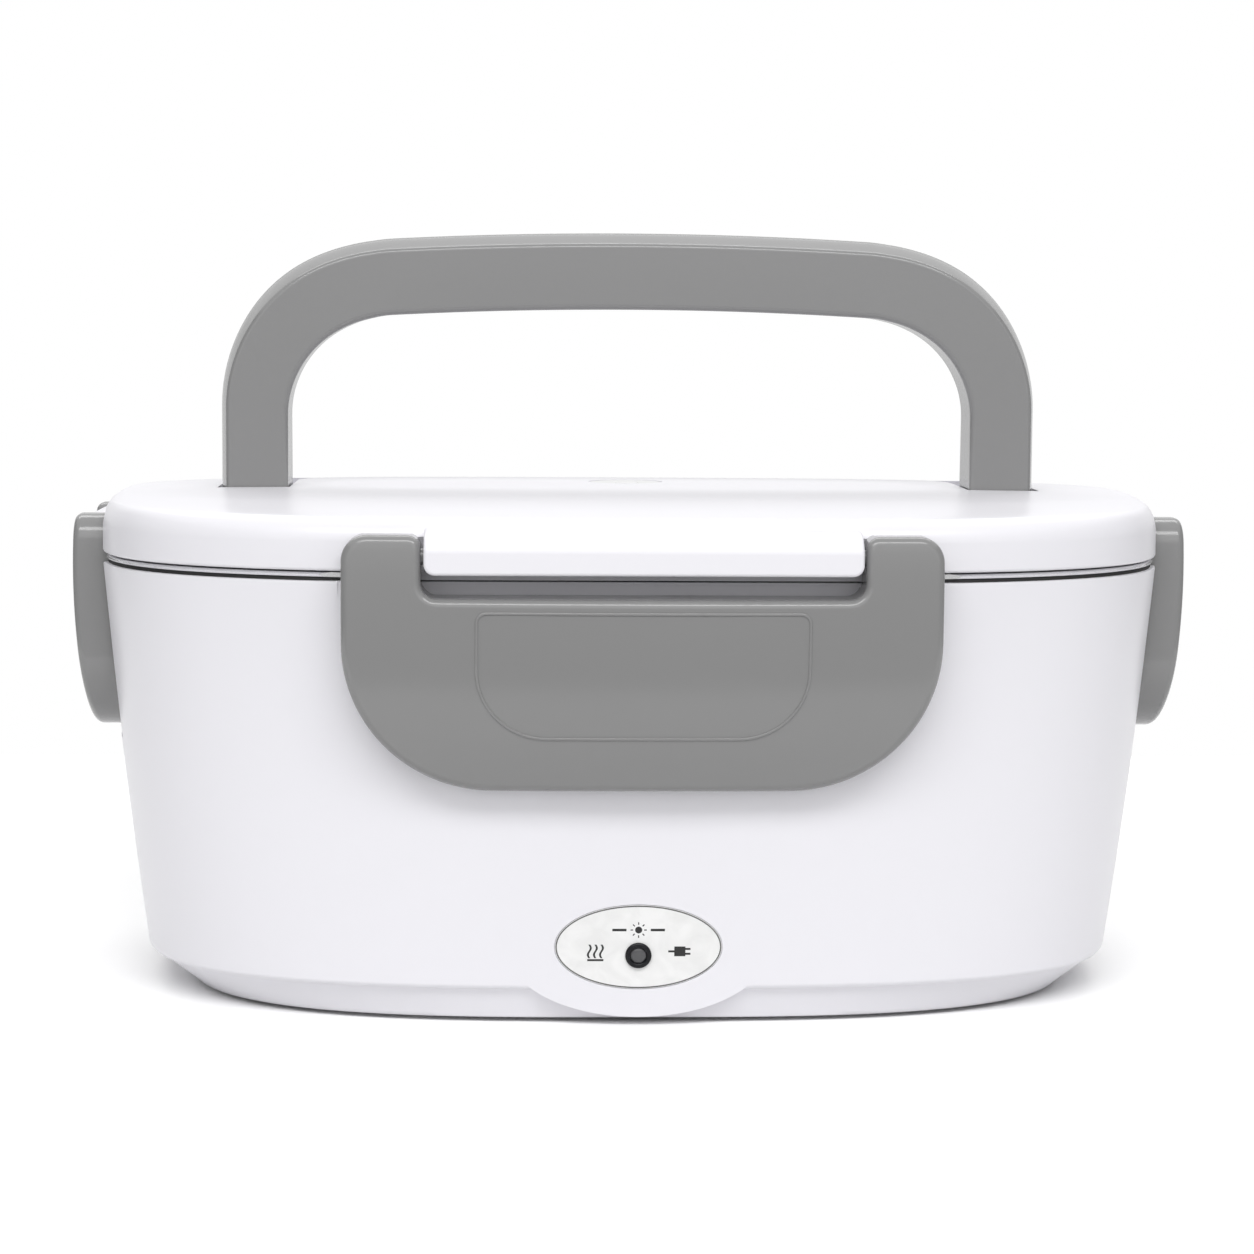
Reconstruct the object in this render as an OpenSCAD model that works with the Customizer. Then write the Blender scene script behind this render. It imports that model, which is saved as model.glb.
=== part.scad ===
// Electric lunch box: a heated base with a lift-out steel pot, and a lift-off lid
// held down by four snap latches, with a carrying handle that folds back.
// Millimetres. The origin is the centre of the footprint on the table, +Z is up,
// the indicator lamp faces -Y and the power sockets face +Y.

/* [Plan outline] */
// Half width of the box where lid and body meet
rim_hw = 111.3; // [111:0.1:111.6]
// Half depth of the box where lid and body meet
rim_hd = 77.7; // [77.4:0.1:78]
// Roundness of the outline: 2 is an ellipse, higher is squarer
plan_power = 3.0; // [2.9:0.05:3.1]
// Flats around each tapered shell
plan_sides = 64; // [48:16:80]

/* [Body] */
// Height of the body's rim above the table
rim_z = 89; // [88.8:0.1:89.2]
// How far the side draws in for each millimetre of height
taper = 0.11; // [0.1:0.005:0.12]
// Wall of the outer shell
shell_wall = 2.2; // [1.8:0.1:2.4]
// Height of the shell's lower edge, where the plinth starts
lower_edge_z = 7.3; // [7:0.1:7.6]
// Thickness of the rubber feet
foot_h = 1; // [0.8:0.1:1.2]

/* [Pot and tub] */
// Draw-in of the pot's wall from the rim outline
pot_inset = 10; // [9.9:0.1:10.4]
// Sheet thickness of the pot
pot_wall = 0.8; // [0.6:0.1:0.9]
// Height of the tub's floor above the table
tub_floor_z = 33; // [32:0.5:34]

/* [Lid] */
// Height of the lid's lower edge
lid_z = 90.8; // [90.7:0.1:91]
// Height of the middle of the lid's top
lid_top_z = 103.7; // [103.5:0.1:104]
// Wall of the lid
lid_wall = 2.2; // [2:0.1:2.4]

/* [Handle] */
// Half width of the handle across its legs
handle_hw = 87; // [86:0.5:88]
// Width of one leg
leg_w = 14.5; // [13.5:0.5:15]
// Depth of the handle from front to back
handle_depth = 16; // [14:0.5:16]
// Height of the top of the handle
handle_top_z = 157.6; // [150:0.1:158]
// Radius of the outer corners
handle_r = 36.5; // [35:0.5:37]

/* [Latches] */
// Half width of the front and back latches
long_hw = 58; // [57:0.5:59]
// Half width of the end latches
short_hw = 25.5; // [24:0.5:27]
// Top of the latches
latch_top_z = 98.4; // [98:0.1:98.6]
// Thickness of the latch's skin
latch_wall = 2.4; // [2:0.1:2.6]

/* [Hidden] */
$fn = 64;

white = [0.95, 0.95, 0.96];
grey = [0.56, 0.56, 0.56];
dark_grey = [0.2, 0.2, 0.21];
black = [0.05, 0.05, 0.05];
steel = [0.75, 0.76, 0.77];
aluminium = [0.82, 0.83, 0.84];
brass = [0.83, 0.68, 0.38];
rubber = [0.3, 0.3, 0.31];
silicone = [0.88, 0.88, 0.87];

skim = 0.01;          // overlap that joins two shapes of one piece
far = 60;             // reach of a cut that only has to leave the piece
slip = 0.05;          // radial clearance of a pin that turns in its bore

// ---- plan outline and lofts -------------------------------------------------

// Point of the outline, drawn in by inset, and at the ends by end_inset, in the
// direction of turn degrees
function plan_point(inset, end_inset, turn) =
    let (across = abs(cos(turn)) / (rim_hw - end_inset),
         along = abs(sin(turn)) / (rim_hd - inset),
         reach = pow(pow(across, plan_power) + pow(along, plan_power), -1 / plan_power))
    reach * [cos(turn), sin(turn)];

function plan_ring(inset, end_inset = undef) =
    [for (k = [0 : plan_sides - 1])
        plan_point(inset, is_undef(end_inset) ? inset : end_inset, k * 360 / plan_sides)];

// Draw-in of the body's tapered side at height z
function side_inset(z) = taper * (rim_z - z);

// Straight-sided plate or block with the box's outline
module slab(inset, low, high, end_inset = undef) {
    translate([0, 0, low])
        linear_extrude(high - low)
            polygon(plan_ring(inset, end_inset));
}

// Flat ring with the box's outline
module ring(outer_inset, inner_inset, low, high) {
    translate([0, 0, low])
        linear_extrude(high - low)
            difference() {
                polygon(plan_ring(outer_inset));
                polygon(plan_ring(inner_inset));
            }
}

// Tapered solid through sections [inset, z] or [inset, z, end inset], listed from
// the bottom up
module loft(sections) {
    last = len(sections) - 1;
    points = [for (s = sections) for (p = plan_ring(s[0], len(s) > 2 ? s[2] : s[0])) [p.x, p.y, s[1]]];
    walls = [for (s = [0 : last - 1]) for (k = [0 : plan_sides - 1])
        let (next = (k + 1) % plan_sides, here = s * plan_sides)
        [here + k, here + plan_sides + k, here + plan_sides + next, here + next]];
    bottom = [for (k = [0 : plan_sides - 1]) k];
    top = [for (k = [plan_sides - 1 : -1 : 0]) last * plan_sides + k];
    polyhedron(points, concat([bottom, top], walls));
}

// Puts its children on the sloping front face at height z, facing outwards
module on_front(z, across = 0) {
    translate([across, side_inset(z) - rim_hd, z])
        rotate([90 + atan(taper), 0, 0])
            children();
}

// Puts its children on the sloping back face at height z, facing outwards
module on_back(z, across = 0) {
    rotate([0, 0, 180])
        on_front(z, -across)
            children();
}

module at_each(places) {
    for (p = places)
        translate(p)
            children();
}

// Four places that mirror each other about both axes
function mirrored(x, y) = [[x, y, 0], [-x, y, 0], [-x, -y, 0], [x, -y, 0]];

// ---- latches: shared sizes --------------------------------------------------

// A latch is described by [half width, ear width, reach of its outer face from
// the centre, pocket depth behind it, lowest z, bottom corner radius, turn]
latch_front_size = [long_hw, 15.3, 86, 12.8, 48.4, 29, 180];
latch_back_size = [long_hw, 15.3, 86, 12.8, 48.4, 29, 0];
latch_left_size = [short_hw, 10.5, 117, 11, 52.8, 18, 90];
latch_right_size = [short_hw, 10.5, 117, 11, 52.8, 18, -90];
latch_sizes = [latch_front_size, latch_back_size, latch_left_size, latch_right_size];

function half_width(s) = s[0];
function notch_hw(s) = s[0] - s[1];
function outer_reach(s) = s[2];
function pocket_reach(s) = s[2] - s[3];
function inner_reach(s) = s[2] - s[3] + 0.35;
function low_z(s) = s[4];
function corner_r(s) = s[5];
function side_turn(s) = s[6];
function pivot_reach(s) = s[2] - (half_width(s) == long_hw ? 6 : 5);

pivot_z = 94.2;       // height of every latch's hinge axis
peg_r = 1.6;          // hinge peg moulded on each ear
peg_len = 6.5;
notch_z = 85.8;       // bottom of the notch between the ears
notch_r = 3;
ear_r = 5;            // outer top corner of an ear
ear_back = 4.8;       // ear's back face, behind the hinge axis
recess_r = 6.8;       // room that an ear sweeps in the lid
bulge_r = 107;        // outward curve of the latch's face, seen from the end
bulge_z = 87;         // height at which the face stands out furthest
plan_r = 560;         // curve of the latch's face in plan
tongue_gap = 0.6;     // gap between the lid's tongue and each ear

// Turns its children, drawn with +Y outwards, to their side of the box
module at_side(s) {
    rotate([0, 0, side_turn(s)])
        children();
}

// Everything outside the latch pockets' back planes, moved in by draw_in, from
// below each latch by drop up to height high, for cutting
module beyond_pockets(draw_in, side_room, drop, high) {
    for (s = latch_sizes)
        at_side(s)
            translate([-half_width(s) - side_room, pocket_reach(s) - draw_in, low_z(s) - drop])
                cube([2 * (half_width(s) + side_room), far, high - low_z(s) + drop]);
}

// ---- body -------------------------------------------------------------------

edge_out = 1.2;       // width of the shell's rounded lower edge
edge_up = 1.3;        // height of the same edge
end_bow = 0.55;       // how far the ends swell out halfway up
plinth_inset = 12.5;  // draw-in of the plinth's foot in front and behind
plinth_end_inset = 18.1; // and at both ends
plinth_top_inset = side_inset(lower_edge_z) + edge_out + 0.3;
cover_inset = plinth_inset + shell_wall;
cover_end_inset = plinth_end_inset + shell_wall;
cover_ledge_z = 3;    // underside of the ledge that the base cover meets
shell_floor_z = 9;
tub_ledge_z = rim_z - 2.1;
flange_inset = 1.8;

label_z = 16.2;
label_hw = 16.5;
label_hh = 8.2;
label_t = 0.5;
lamp_drop = 1.7;      // lamp's centre below the label's centre
lamp_bore_r = 2.3;
apron_hw = 26.3;
apron_hh = 14.4;

board_depth = -8;     // lamp board's face, measured from the front surface
board_t = 1.6;
post_apart = 8.5;     // posts that carry the lamp board, either side of the lamp

socket_z = 18;
ac_x = -20;
ac_l = 22;
ac_w = 13;
dc_x = 22;
dc_r = 5;

screw_x = 74;
screw_y = 30;
foot_x = 52;
foot_y = 43;

function ellipse_points(hw, hh, count = 48) =
    [for (k = [0 : count - 1]) [hw * cos(k * 360 / count), hh * sin(k * 360 / count)]];

// Flat shape with round ends, length along X
module stadium(length, width) {
    square([length - width, width], center = true);
    for (side = [-1, 1])
        translate([side * (length - width) / 2, 0])
            circle(d = width);
}

module rounded_plate(length, width, r, h) {
    linear_extrude(h)
        union() {
            square([length - 2 * r, width], center = true);
            square([length, width - 2 * r], center = true);
            for (p = mirrored(length / 2 - r, width / 2 - r))
                translate([p.x, p.y])
                    circle(r);
        }
}

// Outside of the shell above its lower edge, with that edge rounded
module shell_outside() {
    edge = [for (a = [0 : 22.5 : 90])
        let (z = lower_edge_z + edge_up * (1 - cos(a)))
        [side_inset(z) + edge_out * (1 - sin(a)), z]];
    sides = [for (share = [0.15 : 0.15 : 0.9])
        let (z = lower_edge_z + share * (rim_z - lower_edge_z))
        [side_inset(z), z, side_inset(z) - end_bow * sin(180 * share)]];
    loft(concat(edge, sides, [[0, rim_z]]));
}

// Space inside the shell, which keeps a wall behind each latch pocket
module shell_inside() {
    difference() {
        loft([
            [side_inset(shell_floor_z) + 1.2 + shell_wall, shell_floor_z],
            [side_inset(14) + shell_wall, 14],
            [side_inset(rim_z + 1) + shell_wall, rim_z + 1]
        ]);
        beyond_pockets(2, 2, 3, rim_z + 2);
    }
}

// Bulge of the front that carries the label down over the plinth
module apron() {
    intersection() {
        loft([[side_inset(1) + 0.03, 1], [side_inset(20) + 0.03, 20]]);
        translate([0, 1.5 - (rim_hd - plinth_inset), label_z])
            rotate([90, 0, 0])
                linear_extrude(20)
                    polygon(ellipse_points(apron_hw, apron_hh));
    }
}

// Openings cut from outside: label recess, lamp hole and the two sockets
module shell_cutouts() {
    on_front(label_z) {
        translate([0, 0, -label_t - 0.05])
            linear_extrude(3)
                polygon(ellipse_points(label_hw + 0.15, label_hh + 0.15));
        translate([0, -lamp_drop, -14])
            cylinder(r = lamp_bore_r, h = 20);
    }
    on_back(socket_z, ac_x)
        translate([0, 0, -8])
            linear_extrude(16)
                stadium(ac_l + 0.3, ac_w + 0.3);
    on_back(socket_z, dc_x)
        translate([0, 0, -8])
            cylinder(r = dc_r + 0.15, h = 16);
}

module outer_shell() {
    color(white)
        union() {
            difference() {
                union() {
                    shell_outside();
                    loft([
                        [plinth_inset, foot_h, plinth_end_inset],
                        [plinth_top_inset, lower_edge_z - 0.2],
                        [plinth_top_inset, lower_edge_z + 1]
                    ]);
                    apron();
                }
                shell_inside();
                difference() {
                    slab(flange_inset - 0.4, tub_ledge_z, rim_z + 1);
                    beyond_pockets(2, 2, 3, rim_z + 2);
                }
                slab(cover_inset, 0, cover_ledge_z, cover_end_inset);
                slab(cover_inset + 3, 0, shell_floor_z + skim, cover_end_inset + 3);
                beyond_pockets(0, 1, 0.8, rim_z + 1);
                shell_cutouts();
            }
            for (side = [-1, 1])
                on_front(label_z, side * post_apart)
                    translate([0, -lamp_drop, board_depth])
                        cylinder(r = 1.6, h = 0.6 - shell_wall - board_depth);
        }
}

module base_cover() {
    slot_l = 26;
    color(white)
        difference() {
            slab(cover_inset + 0.2, foot_h, cover_ledge_z, cover_end_inset + 0.2);
            at_each(mirrored(screw_x, screw_y)) {
                cylinder(r = 1.8, h = 6);
                cylinder(r = 3.4, h = foot_h + 0.9);
            }
            for (side = [-1, 1]) for (row = [-2 : 2])
                translate([side * 30, row * 8, 0])
                    linear_extrude(6)
                        stadium(slot_l, 2.6);
            at_each(mirrored(foot_x, foot_y))
                cylinder(r = 2.5, h = 6);
        }
}

module base_screws() {
    color(steel)
        at_each(mirrored(screw_x, screw_y))
            translate([0, 0, foot_h + 0.2]) {
                cylinder(r = 3.1, h = 0.7);
                cylinder(r = 1.5, h = 12);
            }
}

module rubber_feet() {
    color(rubber)
        at_each(mirrored(foot_x, foot_y)) {
            cylinder(r = 7, h = foot_h);
            cylinder(r = 2.45, h = cover_ledge_z + skim);
            translate([0, 0, cover_ledge_z])
                cylinder(r = 3.2, h = 1);
        }
}

// ---- tub, pot and heater ----------------------------------------------------

tub_wall = 1.6;
tub_inset = pot_inset - 0.7;
plate_l = 126;
plate_w = 74;
drop_l = 112;
drop_w = 60;
plate_t = 1.6;
drop_z = tub_floor_z - 2.6;
element_h = 6;
strap_t = 1.2;
strap_x = 36;
strap_y = 37;
strap_z = drop_z - element_h - strap_t;

module heating_tub() {
    tub_low = tub_floor_z - 2;
    tub_top = rim_z - 0.1;
    slope = function(z) taper * (tub_top - z);
    color(silicone)
        difference() {
            union() {
                difference() {
                    slab(flange_inset, tub_ledge_z, tub_top);
                    beyond_pockets(2.2, 2.4, 3, rim_z + 2);
                }
                loft([
                    [tub_inset - tub_wall + slope(tub_low) + 3, tub_low],
                    [tub_inset - tub_wall + slope(tub_low + 3), tub_low + 3],
                    [tub_inset - tub_wall, tub_top]
                ]);
                at_each(mirrored(screw_x, screw_y))
                    translate([0, 0, cover_ledge_z])
                        cylinder(r = 4, h = tub_low - cover_ledge_z + 1);
                at_each(mirrored(strap_x, strap_y))
                    translate([0, 0, drop_z - element_h])
                        cylinder(r = 3.4, h = element_h + 2);
            }
            loft([
                [tub_inset + slope(tub_floor_z) + 4, tub_floor_z],
                [tub_inset + slope(tub_floor_z + 4), tub_floor_z + 4],
                [tub_inset + slope(rim_z + 1), rim_z + 1]
            ]);
            translate([0, 0, tub_low - 1])
                rounded_plate(drop_l + 0.4, drop_w + 0.4, 10.2, 4);
            at_each(mirrored(screw_x, screw_y))
                cylinder(r = 1.5, h = 20);
            at_each(mirrored(strap_x, strap_y))
                translate([0, 0, drop_z - element_h - 1])
                    cylinder(r = 1.25, h = 6);
        }
}

module heater_plate() {
    color(aluminium)
        union() {
            translate([0, 0, tub_floor_z])
                rounded_plate(plate_l, plate_w, 12, plate_t);
            translate([0, 0, drop_z])
                rounded_plate(drop_l, drop_w, 10, tub_floor_z - drop_z + skim);
        }
}

module heater_elements() {
    color(dark_grey)
        for (side = [-1, 1])
            translate([side * strap_x - 20, -12, drop_z - element_h])
                cube([40, 24, element_h]);
}

module heater_straps() {
    color(steel)
        for (side = [-1, 1])
            difference() {
                translate([side * strap_x, 0, strap_z])
                    rounded_plate(12, 2 * strap_y + 10, 3, strap_t);
                for (end = [-1, 1])
                    translate([side * strap_x, end * strap_y, strap_z - 1])
                        cylinder(r = 1.6, h = 4);
            }
}

module strap_screws() {
    color(steel)
        at_each(mirrored(strap_x, strap_y)) {
            translate([0, 0, strap_z - 1.6])
                cylinder(r = 2.6, h = 1.6);
            translate([0, 0, strap_z - skim])
                cylinder(r = 1.25, h = strap_t + 4);
        }
}

module thermostat() {
    color(brass)
        translate([0, 0, drop_z - 1.2])
            union() {
                rounded_plate(18, 9, 2, 1.2);
                translate([0, 0, -5])
                    cylinder(r = 7.5, h = 5 + skim);
                for (side = [-1, 1])
                    translate([side * 4 - 0.4, -2.5, -11])
                        cube([0.8, 5, 6 + skim]);
            }
}

module thermal_fuse() {
    color(white)
        translate([-7, 20, drop_z - 2])
            rotate([0, 90, 0])
                union() {
                    cylinder(r = 2, h = 14);
                    translate([0, 0, -5])
                        cylinder(r = 0.6, h = 24);
                }
}

// Tube of radius r swept along a list of points
module tube(route, r, sides = 6) {
    last = len(route) - 1;
    ahead = [for (k = [0 : last])
        let (d = route[min(k + 1, last)] - route[max(k - 1, 0)]) d / norm(d)];
    rings = [for (k = [0 : last])
        let (side = cross(ahead[k], [0.31, 0.17, 0.93]), u = side / norm(side), v = cross(ahead[k], u))
        for (n = [0 : sides - 1]) route[k] + r * (cos(n * 360 / sides) * u + sin(n * 360 / sides) * v)];
    walls = [for (k = [0 : last - 1]) for (n = [0 : sides - 1])
        let (next = (n + 1) % sides, here = k * sides)
        [here + n, here + sides + n, here + sides + next, here + next]];
    start = [for (n = [0 : sides - 1]) n];
    end = [for (n = [sides - 1 : -1 : 0]) last * sides + n];
    polyhedron(rings, concat([start, end], walls));
}

// Points of a smooth route between hand-chosen corners
function smooth(corners, steps = 4) =
    concat([corners[0]],
        [for (k = [1 : len(corners) - 2]) for (n = [0 : steps])
            let (a = (corners[k - 1] + corners[k]) / 2, b = corners[k],
                 c = (corners[k] + corners[k + 1]) / 2, t = n / steps)
            (1 - t) * (1 - t) * a + 2 * t * (1 - t) * b + t * t * c],
        [corners[len(corners) - 1]]);

wire_routes = [
    [[-24, 54.9, 19.5], [-24, 48, 19], [-24, 42, 12], [-46, 30, 12], [-64, 14, 14], [-66, 4, 27], [-56, 4, 27]],
    [[-16, 54.9, 19.5], [-16, 48, 19], [-14, 40, 13], [10, 30, 13], [12, 8, 13], [4, 0, 12], [4, 0, 18.2]],
    [[22, 55.8, 19.4], [22, 48, 19], [26, 38, 11], [50, 24, 11], [66, 12, 14], [68, 4, 27], [56, 4, 27]],
    [[-4, 0, 18.2], [-4, 0, 12], [-6, -12, 10], [-5, -30, 12], [-5, -50, 15], [-5, -60, 15.6]],
    [[5, -60, 15.6], [5, -50, 15], [8, -30, 12], [30, -22, 12], [60, -12, 14], [66, -5, 27], [56, -5, 27]]
];

module wiring() {
    color(dark_grey)
        for (corners = wire_routes)
            tube(smooth(corners), 1);
}

pot_rim_z = rim_z + 0.5;

module pot_gasket() {
    color(dark_grey)
        difference() {
            ring(4.2, 8.4, rim_z - 0.1, pot_rim_z);
            beyond_pockets(2.4, 2.4, 3, rim_z + 2);
        }
}

module steel_pot() {
    floor_z = tub_floor_z + plate_t;
    slope = function(z) taper * (pot_rim_z - z);
    curve = [[6, 0], [2.4, 1.2], [0.7, 3.6], [0, 7]];
    outside = [for (c = curve) [pot_inset + slope(floor_z + c[1]) + c[0], floor_z + c[1]]];
    inside = [for (c = curve)
        [pot_inset + pot_wall + slope(floor_z + c[1]) + c[0], floor_z + pot_wall + c[1]]];
    color(steel)
        difference() {
            union() {
                loft(concat(outside, [[pot_inset, pot_rim_z + 0.6]]));
                difference() {
                    union() {
                        slab(0.5, pot_rim_z, pot_rim_z + 0.6);
                        ring(0.5, 1.7, pot_rim_z, pot_rim_z + 1);
                    }
                    beyond_pockets(0.4, 1, 3, rim_z + 4);
                }
            }
            loft(concat(inside, [[pot_inset + pot_wall, pot_rim_z + 2]]));
        }
}

// ---- lamp, label and sockets ------------------------------------------------

module at_lamp() {
    on_front(label_z)
        translate([0, -lamp_drop, 0])
            children();
}

module label_plate() {
    color([0.93, 0.93, 0.93])
        on_front(label_z)
            translate([0, 0, -label_t])
                difference() {
                    linear_extrude(label_t)
                        polygon(ellipse_points(label_hw, label_hh));
                    translate([0, -lamp_drop, -1])
                        cylinder(r = lamp_bore_r, h = 3);
                }
}

module lamp_bezel() {
    color(black)
        at_lamp()
            difference() {
                union() {
                    cylinder(r = 2.6, h = 0.6);
                    translate([0, 0, -7])
                        cylinder(r = lamp_bore_r - 0.03, h = 7 + skim);
                }
                translate([0, 0, -8])
                    cylinder(r = 1.6, h = 10);
            }
}

module lamp_lens() {
    color([0.4, 0.4, 0.42])
        at_lamp()
            union() {
                translate([0, 0, -3.4])
                    cylinder(r = 1.58, h = 3.6);
                intersection() {
                    translate([0, 0, -1.9])
                        sphere(r = 2.45);
                    translate([0, 0, 0.2 - skim])
                        cylinder(r = 1.58, h = 2);
                }
            }
}

module lamp_led() {
    color([0.8, 0.25, 0.2])
        at_lamp()
            translate([0, 0, board_depth])
                union() {
                    cylinder(r = 1.5, h = 4.5);
                    for (side = [-1, 1])
                        translate([side * 0.9, 0, -board_t])
                            cylinder(r = 0.25, h = board_t + skim);
                }
}

module lamp_board() {
    color([0.1, 0.4, 0.22])
        at_lamp()
            translate([0, 0, board_depth - board_t])
                difference() {
                    rounded_plate(22, 11, 1, board_t);
                    for (side = [-1, 1])
                        translate([side * 0.9, 0, -1])
                            cylinder(r = 0.25, h = 4);
                }
}

module ac_inlet() {
    color(black)
        on_back(socket_z, ac_x)
            difference() {
                union() {
                    translate([0, 0, -15])
                        linear_extrude(15 + skim)
                            stadium(ac_l, ac_w);
                    linear_extrude(1.4)
                        stadium(ac_l + 4, ac_w + 4);
                }
                translate([0, 0, -12])
                    linear_extrude(20)
                        stadium(16.6, 8.4);
            }
}

module ac_pins() {
    color(brass)
        on_back(socket_z, ac_x)
            for (side = [-1, 1])
                translate([side * 4.3, 0, -12])
                    cylinder(r = 1.2, h = 10);
}

module dc_inlet() {
    color(black)
        on_back(socket_z, dc_x)
            difference() {
                union() {
                    translate([0, 0, -14])
                        cylinder(r = dc_r, h = 14 + skim);
                    cylinder(r = dc_r + 1.5, h = 1.4);
                }
                translate([0, 0, -11])
                    cylinder(r = 3.25, h = 20);
            }
}

module dc_pin() {
    color(brass)
        on_back(socket_z, dc_x)
            translate([0, 0, -11])
                cylinder(r = 1.25, h = 10);
}

// ---- lid --------------------------------------------------------------------

handle_y = -4;        // the handle's hinge axis, front to back
hinge_z = 98.5;       // and its height
pin_r = 2;
groove_gap = 0.4;     // room around the folded handle
groove_z = hinge_z - handle_depth / 2 - groove_gap;
groove_wall = 1.6;
bar_low_z = 141.4;    // underside of the handle's bar
inner_r = handle_r - leg_w;
fold_far = handle_y + handle_top_z - hinge_z;
fold_near = handle_y + bar_low_z - hinge_z;
vent_y = 14;
vent_bore_r = 4;
liner_flange_z = 91.6;
liner_wall_inset = 12.2;
liner_low_z = 85.6;
liner_t = 1.6;
post_x = 90;
post_y = 51;

// The lid's shoulder is taller at its ends than in front and behind
lid_sections = [
    [0, lid_z, 0], [0, 96.5, 0], [0.7, 99.1, 0.6], [1.9, 100.4, 1.2], [4.5, 101.3, 1.7],
    [14, 101.85, 2.4], [26, 102.5, 3.4], [30, 102.8, 5.5], [34, 103, 12], [44, 103.5, 24],
    [60, lid_top_z, 45]
];

// Outline of the folded handle in plan, grown by margin all round
module fold_outline(margin) {
    difference() {
        fold_block(handle_hw + margin, handle_y - handle_depth / 2 - margin,
            fold_far + margin, handle_r + margin);
        fold_block(handle_hw - leg_w - margin, handle_y - far, fold_near - margin,
            inner_r - margin);
    }
}

// Rectangle whose two far corners are rounded
module fold_block(hw, near, reach, r) {
    translate([-hw, near])
        square([2 * hw, reach - r - near]);
    translate([r - hw, near])
        square([2 * (hw - r), reach - near]);
    for (side = [-1, 1])
        translate([side * (hw - r), reach - r])
            circle(r);
}

function tongue_root(s) = (half_width(s) == long_hw ? rim_hd : rim_hw) - 0.6;
function tongue_top(s) = half_width(s) == long_hw ? 99.6 : 98.3;

// Cross-section of the white tongue between a latch's ears, outwards and up
module tongue_profile(s) {
    front = outer_reach(s) - 0.6;
    back = pocket_reach(s) - 0.6;
    root = tongue_root(s);
    arc = [for (a = [0 : 15 : 90])
        [root + (front - root) * cos(a), 95.1 + (tongue_top(s) - 95.1) * sin(a)]];
    polygon(concat([[back, lid_z + 0.1], [front - 2, lid_z + 0.1], [front - 0.6, lid_z + 0.7],
        [front, lid_z + 2.1]], arc, [[back, tongue_top(s)]]));
}

// Bar along the local X axis, from low_x to high_x, at a latch's hinge axis
module hinge_bar(s, r, low_x, high_x) {
    translate([low_x, pivot_reach(s), pivot_z])
        rotate([0, 90, 0])
            cylinder(r = r, h = high_x - low_x);
}

module lid_tongue(s) {
    hw = notch_hw(s) - tongue_gap;
    translate([-hw, 0, 0])
        rotate([90, 0, 90])
            linear_extrude(2 * hw)
                tongue_profile(s);
}

module ear_housings(s) {
    for (side = [0, 1])
        mirror([side, 0, 0])
            hinge_bar(s, recess_r + 1.4, notch_hw(s) - 2, half_width(s) + 1.8);
}

module ear_recesses(s) {
    for (side = [0, 1])
        mirror([side, 0, 0])
            hinge_bar(s, recess_r, notch_hw(s) - tongue_gap, half_width(s) + 0.5);
}

module tongue_bores(s) {
    for (side = [0, 1])
        mirror([side, 0, 0])
            hinge_bar(s, peg_r + slip, notch_hw(s) - peg_len - 1, notch_hw(s));
}

// Round bar at the handle's hinge axis, on both sides of the lid
module handle_bars(r, near_x, far_x) {
    for (side = [0, 1])
        mirror([side, 0, 0])
            translate([near_x, handle_y, hinge_z])
                rotate([0, 90, 0])
                    cylinder(r = r, h = far_x - near_x);
}

module lid_shell() {
    inside = [for (k = [0 : len(lid_sections) - 1])
        let (s = lid_sections[k])
        [s[0] + lid_wall, s[1] - (k == 0 ? 1 : lid_wall), s[2] + lid_wall]];
    color(white)
        difference() {
            union() {
                difference() {
                    loft(lid_sections);
                    loft(inside);
                }
                intersection() {
                    loft(lid_sections);
                    union() {
                        translate([0, 0, lid_z])
                            linear_extrude(11.2)
                                fold_outline(groove_gap + groove_wall);
                        for (s = latch_sizes)
                            at_side(s)
                                ear_housings(s);
                        handle_bars(4, handle_hw - leg_w - 5, handle_hw + 5);
                        at_each(mirrored(post_x, post_y))
                            translate([0, 0, liner_flange_z + liner_t])
                                cylinder(r = 3, h = 10);
                        translate([0, vent_y, 98.4])
                            cylinder(r = 10.5, h = 4);
                    }
                }
                translate([0, 0, groove_z - groove_wall])
                    linear_extrude(lid_z - groove_z + groove_wall + skim)
                        fold_outline(groove_gap + groove_wall);
                for (s = latch_sizes)
                    at_side(s)
                        lid_tongue(s);
            }
            translate([0, 0, groove_z])
                linear_extrude(20)
                    fold_outline(groove_gap);
            handle_bars(pin_r + slip, handle_hw - leg_w - 3.5, handle_hw + 3.5);
            for (s = latch_sizes)
                at_side(s) {
                    ear_recesses(s);
                    tongue_bores(s);
                }
            at_each(mirrored(post_x, post_y))
                translate([0, 0, liner_flange_z])
                    cylinder(r = 1.2, h = 7);
            translate([0, vent_y, 0]) {
                translate([0, 0, 90])
                    cylinder(r = vent_bore_r, h = 20);
                translate([0, 0, lid_top_z - 1.8])
                    cylinder(r = 8.3, h = 10);
            }
        }
}

module lid_liner() {
    color(white)
        difference() {
            union() {
                difference() {
                    slab(2.6, liner_flange_z, liner_flange_z + liner_t);
                    beyond_pockets(2.6, 2.6, 3, 110);
                }
                slab(liner_wall_inset, liner_low_z, liner_flange_z + skim);
            }
            slab(liner_wall_inset + liner_t, liner_low_z + liner_t, 110);
            at_each(mirrored(post_x, post_y))
                translate([0, 0, liner_flange_z - 1]) {
                    cylinder(r = 1.4, h = 5);
                    cylinder(r = 2.4, h = 1.8);
                }
            translate([0, vent_y, 80])
                cylinder(r = vent_bore_r, h = 20);
        }
}

module liner_screws() {
    color(steel)
        at_each(mirrored(post_x, post_y))
            translate([0, 0, liner_flange_z]) {
                cylinder(r = 2.2, h = 0.8);
                cylinder(r = 1.2, h = 6);
            }
}

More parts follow.
